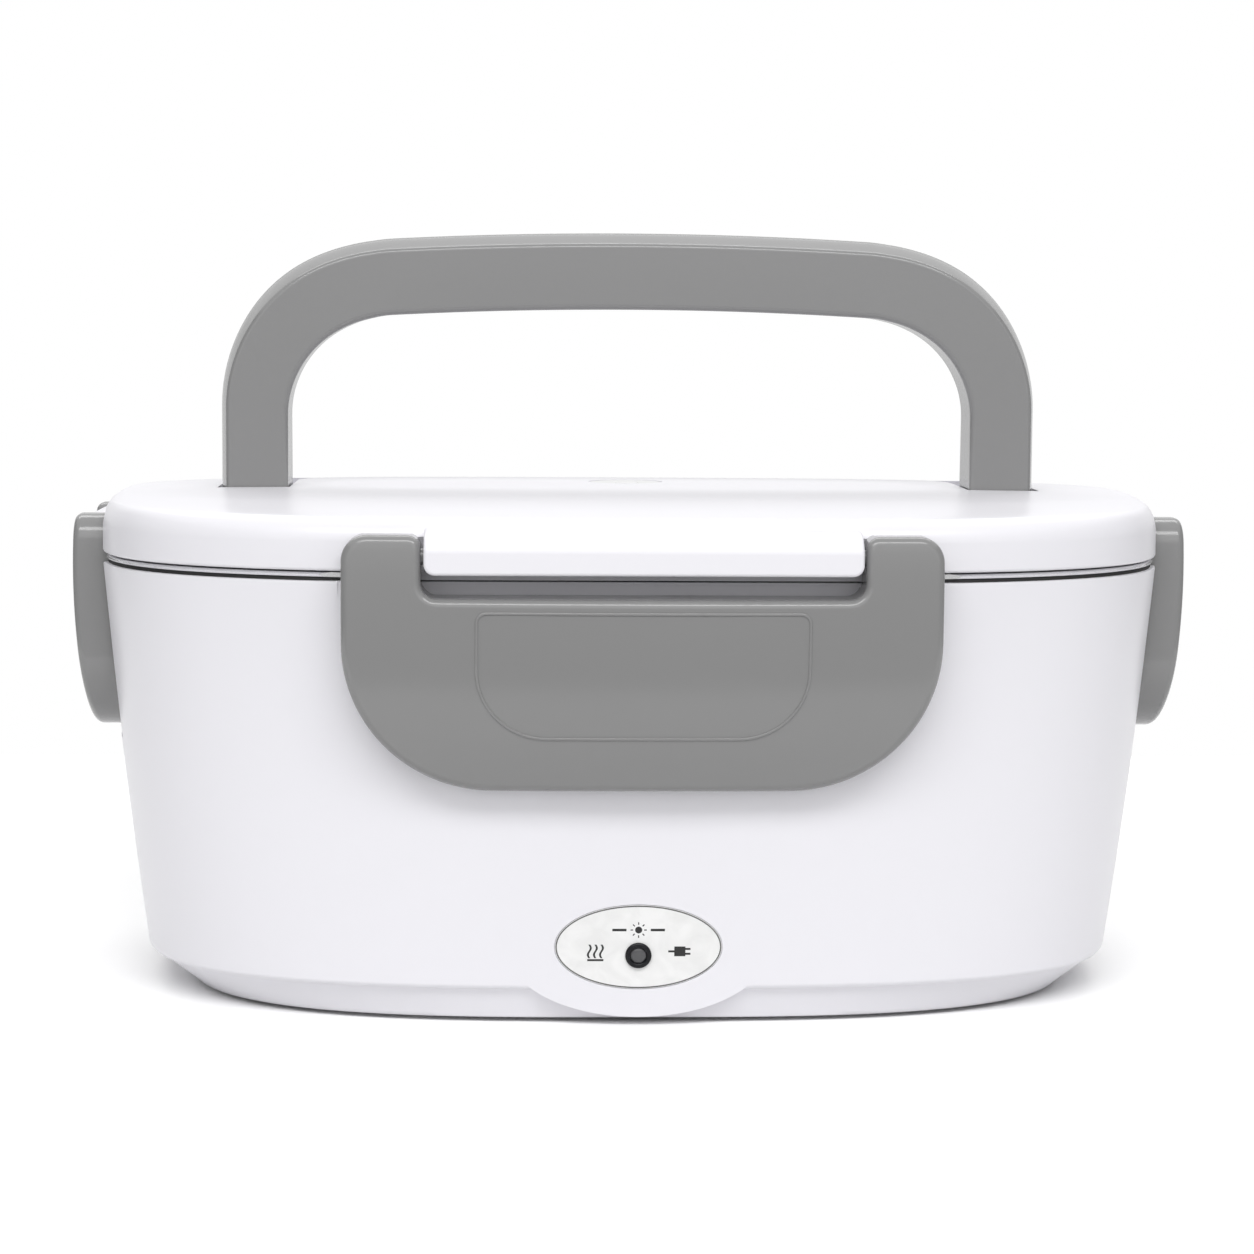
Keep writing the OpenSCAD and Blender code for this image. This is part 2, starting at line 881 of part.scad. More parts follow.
module lid_seal() {
    color(silicone)
        ring(7.3, 9.3, pot_rim_z + 0.8, liner_flange_z);
}

module vent_plug() {
    color(silicone)
        translate([0, vent_y, 0])
            difference() {
                union() {
                    translate([0, 0, lid_top_z - 1.7])
                        cylinder(r = 8, h = 1.6);
                    translate([0, 0, 95.5])
                        cylinder(r = vent_bore_r - 0.1, h = 7);
                    translate([-2.5, -6.5, lid_top_z - 0.2])
                        cube([5, 3, 0.6]);
                }
                translate([0, 0, 95])
                    cylinder(r = 2.4, h = 6);
            }
}

// ---- handle -----------------------------------------------------------------

// Front view of the handle above its hinge axis: X across, Y up
module handle_outline() {
    difference() {
        fold_block(handle_hw, hinge_z, handle_top_z, handle_r);
        fold_block(handle_hw - leg_w, hinge_z - 1, bar_low_z, inner_r);
        translate([-handle_hw, hinge_z - far])
            square([2 * handle_hw, far]);
    }
}

module handle() {
    color(grey)
        difference() {
            union() {
                translate([0, handle_y + handle_depth / 2, 0])
                    rotate([90, 0, 0])
                        linear_extrude(handle_depth)
                            handle_outline();
                handle_bars(handle_depth / 2, handle_hw - leg_w, handle_hw);
            }
            handle_bars(pin_r, handle_hw - leg_w - 1, handle_hw + 1);
        }
}

module handle_pins() {
    color(steel)
        handle_bars(pin_r, handle_hw - leg_w - 3, handle_hw + 3);
}

// ---- latches ----------------------------------------------------------------

// Front view of a latch, drawn in by margin, without its notch
module latch_block(s, margin) {
    hw = half_width(s) - margin;
    low = low_z(s);
    r = corner_r(s);
    top = latch_top_z - margin;
    union() {
        translate([-hw, low + r])
            square([2 * hw, top - ear_r - low - r]);
        translate([ear_r - half_width(s), low + r])
            square([2 * (half_width(s) - ear_r), top - low - r]);
        translate([r - half_width(s), low + margin])
            square([2 * (half_width(s) - r), r]);
        for (side = [-1, 1]) {
            translate([side * (half_width(s) - r), low + r])
                circle(r - margin);
            translate([side * (half_width(s) - ear_r), top - ear_r])
                circle(ear_r - margin);
        }
    }
}

module latch_notch(s) {
    hw = notch_hw(s);
    translate([-hw, notch_z + notch_r])
        square([2 * hw, far]);
    translate([notch_r - hw, notch_z])
        square([2 * (hw - notch_r), far]);
    for (side = [-1, 1])
        translate([side * (hw - notch_r), notch_z + notch_r])
            circle(notch_r);
}

// Solid behind the latch's curved face, set back by depth
module latch_body(s, depth) {
    half_angle = asin((half_width(s) + 3) / plan_r) + 0.2;
    face = function(z) plan_r - depth - (z - bulge_z) * (z - bulge_z) / (2 * bulge_r);
    low = low_z(s);
    step = (latch_top_z - low) / 10;
    points = concat(
        [[plan_r - 20, low], [face(low) - 1.6, low]],
        [for (k = [0 : 9]) let (z = low + 1.4 + (step - 0.44) * k) [face(z), z]],
        [[face(latch_top_z) - 0.9, latch_top_z - 0.9], [face(latch_top_z) - 3, latch_top_z],
            [plan_r - 20, latch_top_z]]);
    translate([0, outer_reach(s) - plan_r, 0])
        rotate([0, 0, 90 - half_angle])
            rotate_extrude(angle = 2 * half_angle, $fn = 360)
                polygon(points);
}

// Straight prism through the latch's front view, from reach near to reach beyond
module latch_prism(near, beyond) {
    translate([0, beyond, 0])
        rotate([90, 0, 0])
            linear_extrude(beyond - near)
                children();
}

module latch(s) {
    inner = inner_reach(s);
    outer = outer_reach(s);
    rib_hw = 0.6 * notch_hw(s);
    color(grey)
        at_side(s)
            difference() {
                union() {
                    difference() {
                        intersection() {
                            latch_body(s, 0);
                            latch_prism(inner, outer + 1)
                                difference() {
                                    latch_block(s, 0);
                                    latch_notch(s);
                                }
                        }
                        intersection() {
                            latch_body(s, latch_wall);
                            latch_prism(inner - 1, outer)
                                intersection() {
                                    latch_block(s, latch_wall);
                                    translate([-far, low_z(s)])
                                        square([2 * far, notch_z - latch_wall - low_z(s)]);
                                }
                        }
                    }
                    translate([-rib_hw, inner, notch_z - 7])
                        cube([2 * rib_hw, outer - 0.6 * latch_wall - inner, 1.8]);
                    for (side = [0, 1])
                        mirror([side, 0, 0])
                            hinge_bar(s, peg_r, notch_hw(s) - peg_len, notch_hw(s) + 2);
                }
                translate([-far, inner - 1, 88])
                    cube([2 * far, pivot_reach(s) - ear_back - inner + 1, far]);
            }
}

module latch_front() { latch(latch_front_size); }
module latch_back() { latch(latch_back_size); }
module latch_left() { latch(latch_left_size); }
module latch_right() { latch(latch_right_size); }

// ---- nodes ------------------------------------------------------------------

outer_shell();
base_cover();
base_screws();
rubber_feet();
heating_tub();
heater_plate();
heater_elements();
heater_straps();
strap_screws();
thermostat();
thermal_fuse();
wiring();
lamp_board();
lamp_led();
lamp_lens();
lamp_bezel();
label_plate();
ac_inlet();
ac_pins();
dc_inlet();
dc_pin();
pot_gasket();
steel_pot();
lid_shell();
lid_liner();
liner_screws();
lid_seal();
vent_plug();
handle();
handle_pins();
latch_front();
latch_back();
latch_left();
latch_right();
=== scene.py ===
"""Looks of the electric lunch box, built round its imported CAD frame.

Metres, +Z up. The front, with the indicator lamp, faces -Y.
"""

import math

import bmesh
import bpy
from mathutils import Euler, Matrix, Vector


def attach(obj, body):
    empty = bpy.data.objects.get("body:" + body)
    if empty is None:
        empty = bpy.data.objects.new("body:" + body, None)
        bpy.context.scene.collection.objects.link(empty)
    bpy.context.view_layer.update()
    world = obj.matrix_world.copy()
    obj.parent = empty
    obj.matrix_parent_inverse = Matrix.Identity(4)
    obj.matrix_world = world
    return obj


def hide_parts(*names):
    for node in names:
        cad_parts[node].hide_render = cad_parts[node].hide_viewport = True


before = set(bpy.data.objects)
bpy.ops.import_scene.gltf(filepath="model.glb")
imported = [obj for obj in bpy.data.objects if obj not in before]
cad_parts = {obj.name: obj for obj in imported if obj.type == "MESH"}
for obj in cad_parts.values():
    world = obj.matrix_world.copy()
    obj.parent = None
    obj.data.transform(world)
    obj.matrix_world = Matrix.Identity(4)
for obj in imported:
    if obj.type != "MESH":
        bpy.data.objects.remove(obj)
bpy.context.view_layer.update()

# ---- Camera ------------------------------------------------------------------
# A long lens about 0.7 m in front of the box and a little above its lid, turned
# slightly to the right and not quite level, as the catalogue picture was taken.
EYE = Vector((-0.0270, -0.6995, 0.1422))
LOOK_DOWN = math.radians(5.66)
LOOK_RIGHT = math.radians(2.21)
LEAN = math.radians(0.39)
SENSOR_MM = 36.0
LENS_MM = 92.97
NEAREST_SEEN = 0.05

camera_data = bpy.data.cameras.new("catalogue_camera")
camera_data.sensor_width = SENSOR_MM
camera_data.lens = LENS_MM
camera_data.clip_start = NEAREST_SEEN
camera = bpy.data.objects.new("catalogue_camera", camera_data)
bpy.context.scene.collection.objects.link(camera)
aim = Euler((math.pi / 2 - LOOK_DOWN, 0, -LOOK_RIGHT)).to_matrix() @ Matrix.Rotation(LEAN, 3, "Z")
camera.matrix_world = Matrix.Translation(EYE) @ aim.to_4x4()
bpy.context.scene.camera = camera
bpy.context.scene.view_settings.view_transform = "Standard"

# ---- Table and light ---------------------------------------------------------
# A white table whose front edge lies just under the picture, in a white room. One
# soft lamp hangs behind the box, a stronger one above the camera and one further back.
# Grey cards on all four sides are seen only by the gloss, as in a light tent.
ROOM_LIGHT = 0.46
TABLE_FRONT = -0.226
TABLE_BACK = 0.32
TABLE_HALF_WIDTH = 0.5
TABLE_WHITE = 0.8
# Added to the table's white only where the camera or a gloss sees it, so that it is as
# white there as the room
SEEN_WHITE = 0.3


def surface_nodes(name):
    """A new material, its node list, its links and its surface shader."""
    material = bpy.data.materials.new(name)
    material.use_nodes = True
    tree = material.node_tree
    return material, tree.nodes, tree.links, tree.nodes["Principled BSDF"]


def soft_lamp(name, place, target, size, power):
    """A rectangular lamp turned towards its target."""
    lamp_data = bpy.data.lights.new(name, "AREA")
    lamp_data.shape = "RECTANGLE"
    lamp_data.size, lamp_data.size_y = size
    lamp_data.energy = power
    lamp = bpy.data.objects.new(name, lamp_data)
    bpy.context.scene.collection.objects.link(lamp)
    lamp.location = place
    lamp.rotation_euler = (Vector(target) - Vector(place)).to_track_quat("-Z", "Y").to_euler()


def seen_directly(nodes, links):
    """1 for what the camera, a gloss or clear plastic sees, and 0 for light that bounces."""
    path = nodes.new("ShaderNodeLightPath")
    either = nodes.new("ShaderNodeMath")
    either.operation = "MAXIMUM"
    links.new(path.outputs["Is Camera Ray"], either.inputs[0])
    links.new(path.outputs["Is Glossy Ray"], either.inputs[1])
    any_of = nodes.new("ShaderNodeMath")
    any_of.operation = "MAXIMUM"
    links.new(either.outputs[0], any_of.inputs[0])
    links.new(path.outputs["Is Transmission Ray"], any_of.inputs[1])
    return any_of.outputs[0]


def white_room():
    """A world that is plain white to look at and dimmer as a light."""
    world = bpy.data.worlds.new("white_room")
    bpy.context.scene.world = world
    world.use_nodes = True
    nodes, links = world.node_tree.nodes, world.node_tree.links
    background = nodes["Background"]
    background.inputs["Color"].default_value = (1, 1, 1, 1)
    strength = nodes.new("ShaderNodeMapRange")
    strength.inputs["To Min"].default_value = ROOM_LIGHT
    strength.inputs["To Max"].default_value = 1.0
    links.new(seen_directly(nodes, links), strength.inputs["Value"])
    links.new(strength.outputs["Result"], background.inputs["Strength"])


def table_white():
    """A matt white that looks a little lighter than it lights."""
    material, nodes, links, surface = surface_nodes("table_white")
    nodes.remove(surface)
    plain = nodes.new("ShaderNodeBsdfDiffuse")
    plain.inputs["Color"].default_value = (TABLE_WHITE, TABLE_WHITE, TABLE_WHITE, 1)
    extra = nodes.new("ShaderNodeBsdfDiffuse")
    extra.inputs["Color"].default_value = (SEEN_WHITE, SEEN_WHITE, SEEN_WHITE, 1)
    both = nodes.new("ShaderNodeAddShader")
    links.new(plain.outputs["BSDF"], both.inputs[0])
    links.new(extra.outputs["BSDF"], both.inputs[1])
    choice = nodes.new("ShaderNodeMixShader")
    links.new(seen_directly(nodes, links), choice.inputs["Fac"])
    links.new(plain.outputs["BSDF"], choice.inputs[1])
    links.new(both.outputs["Shader"], choice.inputs[2])
    links.new(choice.outputs["Shader"], nodes["Material Output"].inputs["Surface"])
    return material


def gloss_card(name, place, size, turn, tone):
    """A standing grey card that only glossy surfaces see."""
    material, nodes, links, surface = surface_nodes(name)
    nodes.remove(surface)
    glow = nodes.new("ShaderNodeEmission")
    glow.inputs["Strength"].default_value = tone
    links.new(glow.outputs["Emission"], nodes["Material Output"].inputs["Surface"])
    bpy.ops.mesh.primitive_plane_add(size=1, location=place, rotation=(math.pi / 2, 0, turn))
    card = bpy.context.active_object
    card.name = name
    card.scale = (*size, 1)
    card.data.materials.append(material)
    for kind in ("camera", "diffuse", "transmission", "volume_scatter", "shadow"):
        setattr(card, "visible_" + kind, False)


white_room()
bpy.ops.mesh.primitive_plane_add(size=1, location=(0, (TABLE_FRONT + TABLE_BACK) / 2, 0))
table = bpy.context.active_object
table.name = "table"
table.scale = (2 * TABLE_HALF_WIDTH, TABLE_BACK - TABLE_FRONT, 1)
table.data.materials.append(table_white())
gloss_card("card_front", place=(0, -1.3, -0.93), size=(2.6, 2.14), turn=0, tone=0.5)
gloss_card("card_back", place=(0, 1.3, -0.5), size=(2.6, 2.0), turn=0, tone=0.85)
gloss_card("card_left", place=(-1.3, 0.1, -0.5), size=(2.8, 3.0), turn=math.pi / 2, tone=0.15)
gloss_card("card_right", place=(1.3, 0.1, -0.5), size=(2.8, 3.0), turn=math.pi / 2, tone=0.3)
soft_lamp("lamp_above", place=(0, 0.55, 0.95), target=(0, 0, 0.08), size=(1.3, 0.3), power=4.2)
soft_lamp("lamp_strip", place=(0, -0.9, 1.0), target=(0, 0, 0.08), size=(1.4, 0.34), power=10.5)
soft_lamp("lamp_front", place=(0, -1.7, 0.75), target=(0, 0, 0.05), size=(1.8, 1.0), power=4.0)

# ---- Outer shell -------------------------------------------------------------
# The white moulded body: tapered sides over a plinth that slopes in to the table, a
# flat behind each latch, and an apron in front that carries the label to the foot.
RIM_HALF_WIDTH = 0.1113
RIM_HALF_DEPTH = 0.0777
OUTLINE_POWER = 3.0
OUTLINE_POINTS = 192
RIM_Z = 0.089
TAPER = 0.11
SHELL_WALL = 0.0022
LOWER_EDGE_Z = 0.0073
EDGE_ROUND = 0.0012
END_BOW = 0.00055
RIM_TOP = 0.0888
RIM_ROUND = 0.0004
PLINTH_LOW = 0.0008
PLINTH_FRONT = 0.0125
PLINTH_END = 0.0181
COVER_LEDGE_Z = 0.003
LABEL_Z = 0.0162
LABEL_HALF = (0.0165, 0.0086)
LABEL_RECESS = 0.0005
LABEL_GAP = 0.00015
APRON_HALF = (0.0263, 0.0144)
SOCKET_Z = 0.018
SOCKET_GAP = 0.00015
AC_X = -0.020
AC_NECK = (0.022, 0.013)
DC_X = 0.022
DC_NECK_RADIUS = 0.0050
FLAT_FRONT = 0.0732
FLAT_END = 0.1060
LATCH_LONG = 0.058
LATCH_SHORT = 0.0255
LONG_LATCH_LOW = 0.0484
END_LATCH_LOW = 0.0528
ABOVE_RIM = 0.095


def clear_selection():
    """Leaves edit mode and deselects everything."""
    if bpy.context.mode != "OBJECT":
        bpy.ops.object.mode_set(mode="OBJECT")
    bpy.ops.object.select_all(action="DESELECT")


def select_alone(piece):
    """Selects one piece and makes it the active one."""
    clear_selection()
    piece.select_set(True)
    bpy.context.view_layer.objects.active = piece


def side_inset(height):
    """How far the tapered side has drawn in from the rim's outline at a height."""
    return TAPER * (RIM_Z - height)


def pick(piece, kind, test):
    """Selects, in edit mode, the vertices, edges or faces whose middle passes the test."""
    bpy.context.view_layer.objects.active = piece
    if bpy.context.mode == "OBJECT":
        bpy.ops.object.mode_set(mode="EDIT")
    bpy.ops.mesh.select_mode(type=kind)
    bpy.ops.mesh.select_all(action="DESELECT")
    mesh = bmesh.from_edit_mesh(piece.data)
    parts = {"VERT": mesh.verts, "EDGE": mesh.edges, "FACE": mesh.faces}[kind]
    for part in parts:
        corners = [part] if kind == "VERT" else part.verts
        middle = sum((c.co for c in corners), Vector()) / len(corners)
        if test(middle, part):
            part.select_set(True)
    mesh.select_flush_mode()
    bmesh.update_edit_mesh(piece.data)


def half_sizes(section):
    """Half width and half depth of a section: (inset, height) or (inset, height, inset at the ends)."""
    end_inset = section[2] if len(section) > 2 else section[0]
    return RIM_HALF_WIDTH - end_inset, RIM_HALF_DEPTH - section[0]


def loft(name, sections, filled=True):
    """A closed solid with the box's outline, extruded through its sections from the first one.

    Without filled it is a loop of wall whose last section meets the first.
    """
    clear_selection()
    fill = "NGON" if filled else "NOTHING"
    bpy.ops.mesh.primitive_circle_add(vertices=OUTLINE_POINTS, fill_type=fill)
    piece = bpy.context.active_object
    piece.name = name
    half_width, half_depth = half_sizes(sections[0])
    height = sections[0][1]
    for k, vertex in enumerate(piece.data.vertices):
        turn = 2 * math.pi * k / OUTLINE_POINTS
        across = abs(math.cos(turn)) / half_width
        along = abs(math.sin(turn)) / half_depth
        reach = (across ** OUTLINE_POWER + along ** OUTLINE_POWER) ** (-1 / OUTLINE_POWER)
        vertex.co = (reach * math.cos(turn), reach * math.sin(turn), height)
    bpy.ops.object.mode_set(mode="EDIT")
    bpy.ops.mesh.select_mode(type="VERT")
    bpy.ops.mesh.select_all(action="SELECT")
    for section in sections[1:]:
        bpy.ops.mesh.extrude_region_move(TRANSFORM_OT_translate={"value": (0, 0, section[1] - height)})
        next_width, next_depth = half_sizes(section)
        bpy.ops.transform.resize(value=(next_width / half_width, next_depth / half_depth, 1),
                                 center_override=(0, 0, 0))
        half_width, half_depth, height = next_width, next_depth, section[1]
    bpy.ops.mesh.select_all(action="SELECT")
    bpy.ops.mesh.remove_doubles(threshold=1e-7)
    bpy.ops.mesh.normals_make_consistent(inside=False)
    bpy.ops.object.mode_set(mode="OBJECT")
    return piece


def block(name, low, high):
    """A rectangular block between two corners, used to cut or to build on."""
    clear_selection()
    middle = (Vector(low) + Vector(high)) / 2
    bpy.ops.mesh.primitive_cube_add(size=1, location=middle)
    piece = bpy.context.active_object
    piece.name = name
    piece.scale = Vector(high) - Vector(low)
    settle(piece)
    return piece


def settle(piece):
    """Moves a piece's place, turn and scale into its mesh."""
    select_alone(piece)
    bpy.ops.object.transform_apply(location=True, rotation=True, scale=True)


def apply_modifier(piece, kind, **settings):
    """Adds a modifier with these settings and applies it."""
    select_alone(piece)
    modifier = piece.modifiers.new(kind.lower(), kind)
    for key, value in settings.items():
        setattr(modifier, key, value)
    bpy.ops.object.modifier_apply(modifier=modifier.name)


def combine(piece, tool, operation):
    """Cuts the tool out of the piece, joins it on or keeps what both share. The tool is used up."""
    apply_modifier(piece, "BOOLEAN", object=tool, operation=operation, solver="EXACT")
    bpy.data.objects.remove(tool, do_unlink=True)


def turn_about_z(piece, turn):
    """Turns a piece about the vertical axis, with its place kept in its mesh."""
    piece.data.transform(Matrix.Rotation(turn, 4, "Z"))
    return piece


# Half width, flat, lowest point and turn of each latch's place round the box
LATCH_PLACES = {
    "front": (LATCH_LONG, FLAT_FRONT, LONG_LATCH_LOW, math.pi),
    "back": (LATCH_LONG, FLAT_FRONT, LONG_LATCH_LOW, 0.0),
    "left": (LATCH_SHORT, FLAT_END, END_LATCH_LOW, math.pi / 2),
    "right": (LATCH_SHORT, FLAT_END, END_LATCH_LOW, -math.pi / 2),
}


def cut_flats(piece, draw_in, room, drop):
    """Cuts the four latches' flats: drawn in by so much, and so much wider and lower than the latch."""
    for half_width, plane, low, turn in LATCH_PLACES.values():
        half = half_width + room
        flat = plane - draw_in
        tool = block("flat_tool", (-half, flat, low - drop), (half, flat + 0.06, ABOVE_RIM))
        combine(piece, turn_about_z(tool, turn), "DIFFERENCE")


def front_plane(height, across=0.0, back=False):
    """Matrix that puts a thing drawn flat, +Z outwards, on the sloping front (or back) at a height."""
    tilt = math.pi / 2 + math.atan(TAPER)
    sideways = -across if back else across
    place = Matrix.Translation((sideways, side_inset(height) - RIM_HALF_DEPTH, height))
    front = place @ Matrix.Rotation(tilt, 4, "X")
    return Matrix.Rotation(math.pi, 4, "Z") @ front if back else front


def oval_prism(name, half, low, high, points=96):
    """An elliptical prism along Z, used as a tool and for the label."""
    clear_selection()
    bpy.ops.mesh.primitive_cylinder_add(vertices=points, radius=1, depth=high - low,
                                        location=(0, 0, (low + high) / 2))
    piece = bpy.context.active_object
    piece.name = name
    piece.scale = (half[0], half[1], 1)
    settle(piece)
    return piece


def stadium_prism(name, length, width, low, high):
    """A prism with round ends along X: a block with its upright edges bevelled round."""
    piece = block(name, (-length / 2, -width / 2, low), (length / 2, width / 2, high))
    pick(piece, "EDGE", lambda middle, edge: abs(edge.verts[0].co.z - edge.verts[1].co.z) > 1e-6)
    bpy.ops.mesh.bevel(offset=width / 2 * 0.9999, segments=24, affect="EDGES", clamp_overlap=False)
    bpy.ops.object.mode_set(mode="OBJECT")
    return piece


def smooth(piece, angle):
    """Smooth shading across edges that turn by less than the angle, in degrees."""
    select_alone(piece)
    bpy.ops.object.shade_smooth_by_angle(angle=math.radians(angle))


def even_shading(piece):
    """Smooth shading that leaves flats flat beside their rounded edges."""
    smooth(piece, 40)
    apply_modifier(piece, "WEIGHTED_NORMAL", weight=90, keep_sharp=True)


def finish_piece(piece, body, material, slot, *nodes):
    """Paints a finished piece, rides it on its body and hides the imported parts that it stands for."""
    piece.data.materials.clear()
    piece.data.materials.append(material)
    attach(piece, body)
    if nodes:
        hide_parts(*nodes)


def noise(nodes, links, vector, scale, detail=2):
    """A noise pattern that reads a vector."""
    pattern = nodes.new("ShaderNodeTexNoise")
    pattern.inputs["Scale"].default_value = scale
    pattern.inputs["Detail"].default_value = detail
    links.new(vector, pattern.inputs["Vector"])
    return pattern


def uneven_gloss(nodes, links, surface, pattern, roughness, spread):
    """Roughness that a pattern varies by this share to either side."""
    gloss = nodes.new("ShaderNodeMapRange")
    gloss.inputs["To Min"].default_value = roughness * (1 - spread)
    gloss.inputs["To Max"].default_value = roughness * (1 + spread)
    links.new(pattern.outputs["Fac"], gloss.inputs["Value"])
    links.new(gloss.outputs["Result"], surface.inputs["Roughness"])


def fine_relief(nodes, links, surface, pattern, strength):
    """A very shallow relief that a pattern gives the surface."""
    bump = nodes.new("ShaderNodeBump")
    bump.inputs["Strength"].default_value = strength
    bump.inputs["Distance"].default_value = 0.0002
    links.new(pattern.outputs["Fac"], bump.inputs["Height"])
    links.new(bump.outputs["Normal"], surface.inputs["Normal"])


def moulded_plastic(name, colour, roughness, mottle=0.02, grain=0.02):
    """Glossy moulded plastic: a faint drift of tone, uneven gloss and a very fine skin."""
    material, nodes, links, surface = surface_nodes(name)
    place = nodes.new("ShaderNodeTexCoord")
    drift = noise(nodes, links, place.outputs["Object"], 18)
    tone = nodes.new("ShaderNodeMix")
    tone.data_type = "RGBA"
    tone.inputs["A"].default_value = (*[c * (1 - mottle) for c in colour], 1)
    tone.inputs["B"].default_value = (*[min(1, c * (1 + mottle)) for c in colour], 1)
    links.new(drift.outputs["Fac"], tone.inputs["Factor"])
    links.new(tone.outputs["Result"], surface.inputs["Base Color"])
    uneven_gloss(nodes, links, surface, drift, roughness, 0.15)
    fine_relief(nodes, links, surface, noise(nodes, links, place.outputs["Object"], 900), grain)
    return material


body_white = moulded_plastic("body_white", (0.855, 0.847, 0.887), 0.3, mottle=0.006)

swell = []
for step in range(7):
    lean = math.pi / 2 * step / 6
    edge_z = LOWER_EDGE_Z + EDGE_ROUND * (1 - math.cos(lean))
    swell.append((side_inset(edge_z) + EDGE_ROUND * (1 - math.sin(lean)), edge_z))
plinth_top = swell[0][0] + 0.0002
sides = []
for share in (0.15, 0.3, 0.45, 0.6, 0.75, 0.9):
    side_z = LOWER_EDGE_Z + share * (RIM_Z - LOWER_EDGE_Z)
    sides.append((side_inset(side_z), side_z, side_inset(side_z) - END_BOW * math.sin(math.pi * share)))
shell = loft("shell_body", [
    (PLINTH_FRONT + 0.0012, PLINTH_LOW, PLINTH_END + 0.0014),
    (PLINTH_FRONT + 0.0003, PLINTH_LOW + 0.0003, PLINTH_END + 0.0004),
    (PLINTH_FRONT - 0.0001, PLINTH_LOW + 0.0010, PLINTH_END - 0.0004),
    (plinth_top, LOWER_EDGE_Z - 0.0001), *swell, *sides,
    (side_inset(RIM_TOP - RIM_ROUND), RIM_TOP - RIM_ROUND),
    (RIM_ROUND * 0.3, RIM_TOP - RIM_ROUND * 0.3), (RIM_ROUND, RIM_TOP),
])
apron = loft("apron", [(side_inset(0.001) + 0.00003, 0.001), (side_inset(0.020) + 0.00003, 0.020)])
apron_oval = oval_prism("apron_oval", APRON_HALF, -0.02, 0.02, 128)
apron_oval.data.transform(Matrix.Translation((0, -RIM_HALF_DEPTH + 0.004, LABEL_Z))
                          @ Matrix.Rotation(math.pi / 2, 4, "X"))
combine(apron, apron_oval, "INTERSECT")
combine(shell, apron, "UNION")

hollow = loft("hollow", [
    (side_inset(0.009) + 0.0012 + SHELL_WALL, 0.009), (side_inset(0.014) + SHELL_WALL, 0.014),
    (side_inset(0.09) + SHELL_WALL, 0.09),
])
cut_flats(hollow, draw_in=0.002, room=0.002, drop=0.003)
combine(shell, hollow, "DIFFERENCE")
cover_cuts = (
    ("cover_seat", SHELL_WALL, COVER_LEDGE_Z),
    ("cover_hole", SHELL_WALL + 0.003, 0.0095),
)
for name, draw_in, high in cover_cuts:
    front = PLINTH_FRONT + draw_in
    end = PLINTH_END + draw_in
    combine(shell, loft(name, [(front, 0, end), (front, high, end)]), "DIFFERENCE")
cut_flats(shell, draw_in=0, room=0.001, drop=0.0008)

label_room = (LABEL_HALF[0] + LABEL_GAP, LABEL_HALF[1] + LABEL_GAP)
label_hole = oval_prism("label_hole", label_room, -LABEL_RECESS, 0.004)
label_hole.data.transform(front_plane(LABEL_Z))
combine(shell, label_hole, "DIFFERENCE")
ac_hole = stadium_prism("ac_hole", AC_NECK[0] + 2 * SOCKET_GAP, AC_NECK[1] + 2 * SOCKET_GAP,
                        -0.008, 0.008)
ac_hole.data.transform(front_plane(SOCKET_Z, AC_X, back=True))
combine(shell, ac_hole, "DIFFERENCE")
dc_room = DC_NECK_RADIUS + SOCKET_GAP
dc_hole = oval_prism("dc_hole", (dc_room, dc_room), -0.008, 0.008, 64)
dc_hole.data.transform(front_plane(SOCKET_Z, DC_X, back=True))
combine(shell, dc_hole, "DIFFERENCE")
even_shading(shell)
finish_piece(shell, "base", body_white, "body_white", "outer_shell")

# ---- Lid ---------------------------------------------------------------------
# The white moulded lid: full sides, a shoulder that is taller at the ends, a domed top. A
# U-shaped groove takes the folded handle, and a tongue on each side holds a latch.
LID_Z = 0.0908
LID_TOP = 0.1037
SHOULDER_Z = 0.0965
SHOULDER_IN = 0.0045
SHOULDER_TOP = 0.1013
END_SHOULDER_Z = 0.0955
END_SHOULDER_TOP = 0.1028
GROOVE_Z = 0.0901
GROOVE_GAP = 0.0004
HINGE_Y = -0.004
HINGE_Z = 0.0985
HANDLE_HALF_WIDTH = 0.087
LEG_WIDTH = 0.0145
HANDLE_DEPTH = 0.016
HANDLE_TOP = 0.1576
BAR_LOW = 0.1414
HANDLE_ROUND = 0.0365
HANDLE_INNER_ROUND = 0.022
ARCH = 0.0017
ARCH_REACH = 0.055
PEG_Z = 0.0942
VENT_Y = 0.014
VENT_SEAT_Z = 0.1019
VENT_SEAT_RADIUS = 0.0081
VENT_BORE_RADIUS = 0.0040
EAR_WIDTH = {"front": 0.0153, "back": 0.0153, "left": 0.0105, "right": 0.0105}
PEG_REACH = {"front": 0.080, "back": 0.080, "left": 0.112, "right": 0.112}
# Where each tongue ends, where its rounded top starts, that top's height, the room
# its latch's ears need to turn, and the radius of its lower corners
LONG_TONGUE = (0.0854, 0.0771, 0.0996, 0.0053, 0.0021)
END_TONGUE = (0.1164, 0.1107, 0.0983, 0.0060, 0.0015)
TONGUES = {"front": LONG_TONGUE, "back": LONG_TONGUE, "left": END_TONGUE, "right": END_TONGUE}


def rod(name, radius, start, end, points=48):
    """A round bar between two points."""
    clear_selection()
    start, end = Vector(start), Vector(end)
    bpy.ops.mesh.primitive_cylinder_add(vertices=points, radius=radius, depth=(end - start).length,
                                        location=(start + end) / 2,
                                        rotation=(end - start).to_track_quat("Z", "Y").to_euler())
    piece = bpy.context.active_object
    piece.name = name
    settle(piece)
    return piece


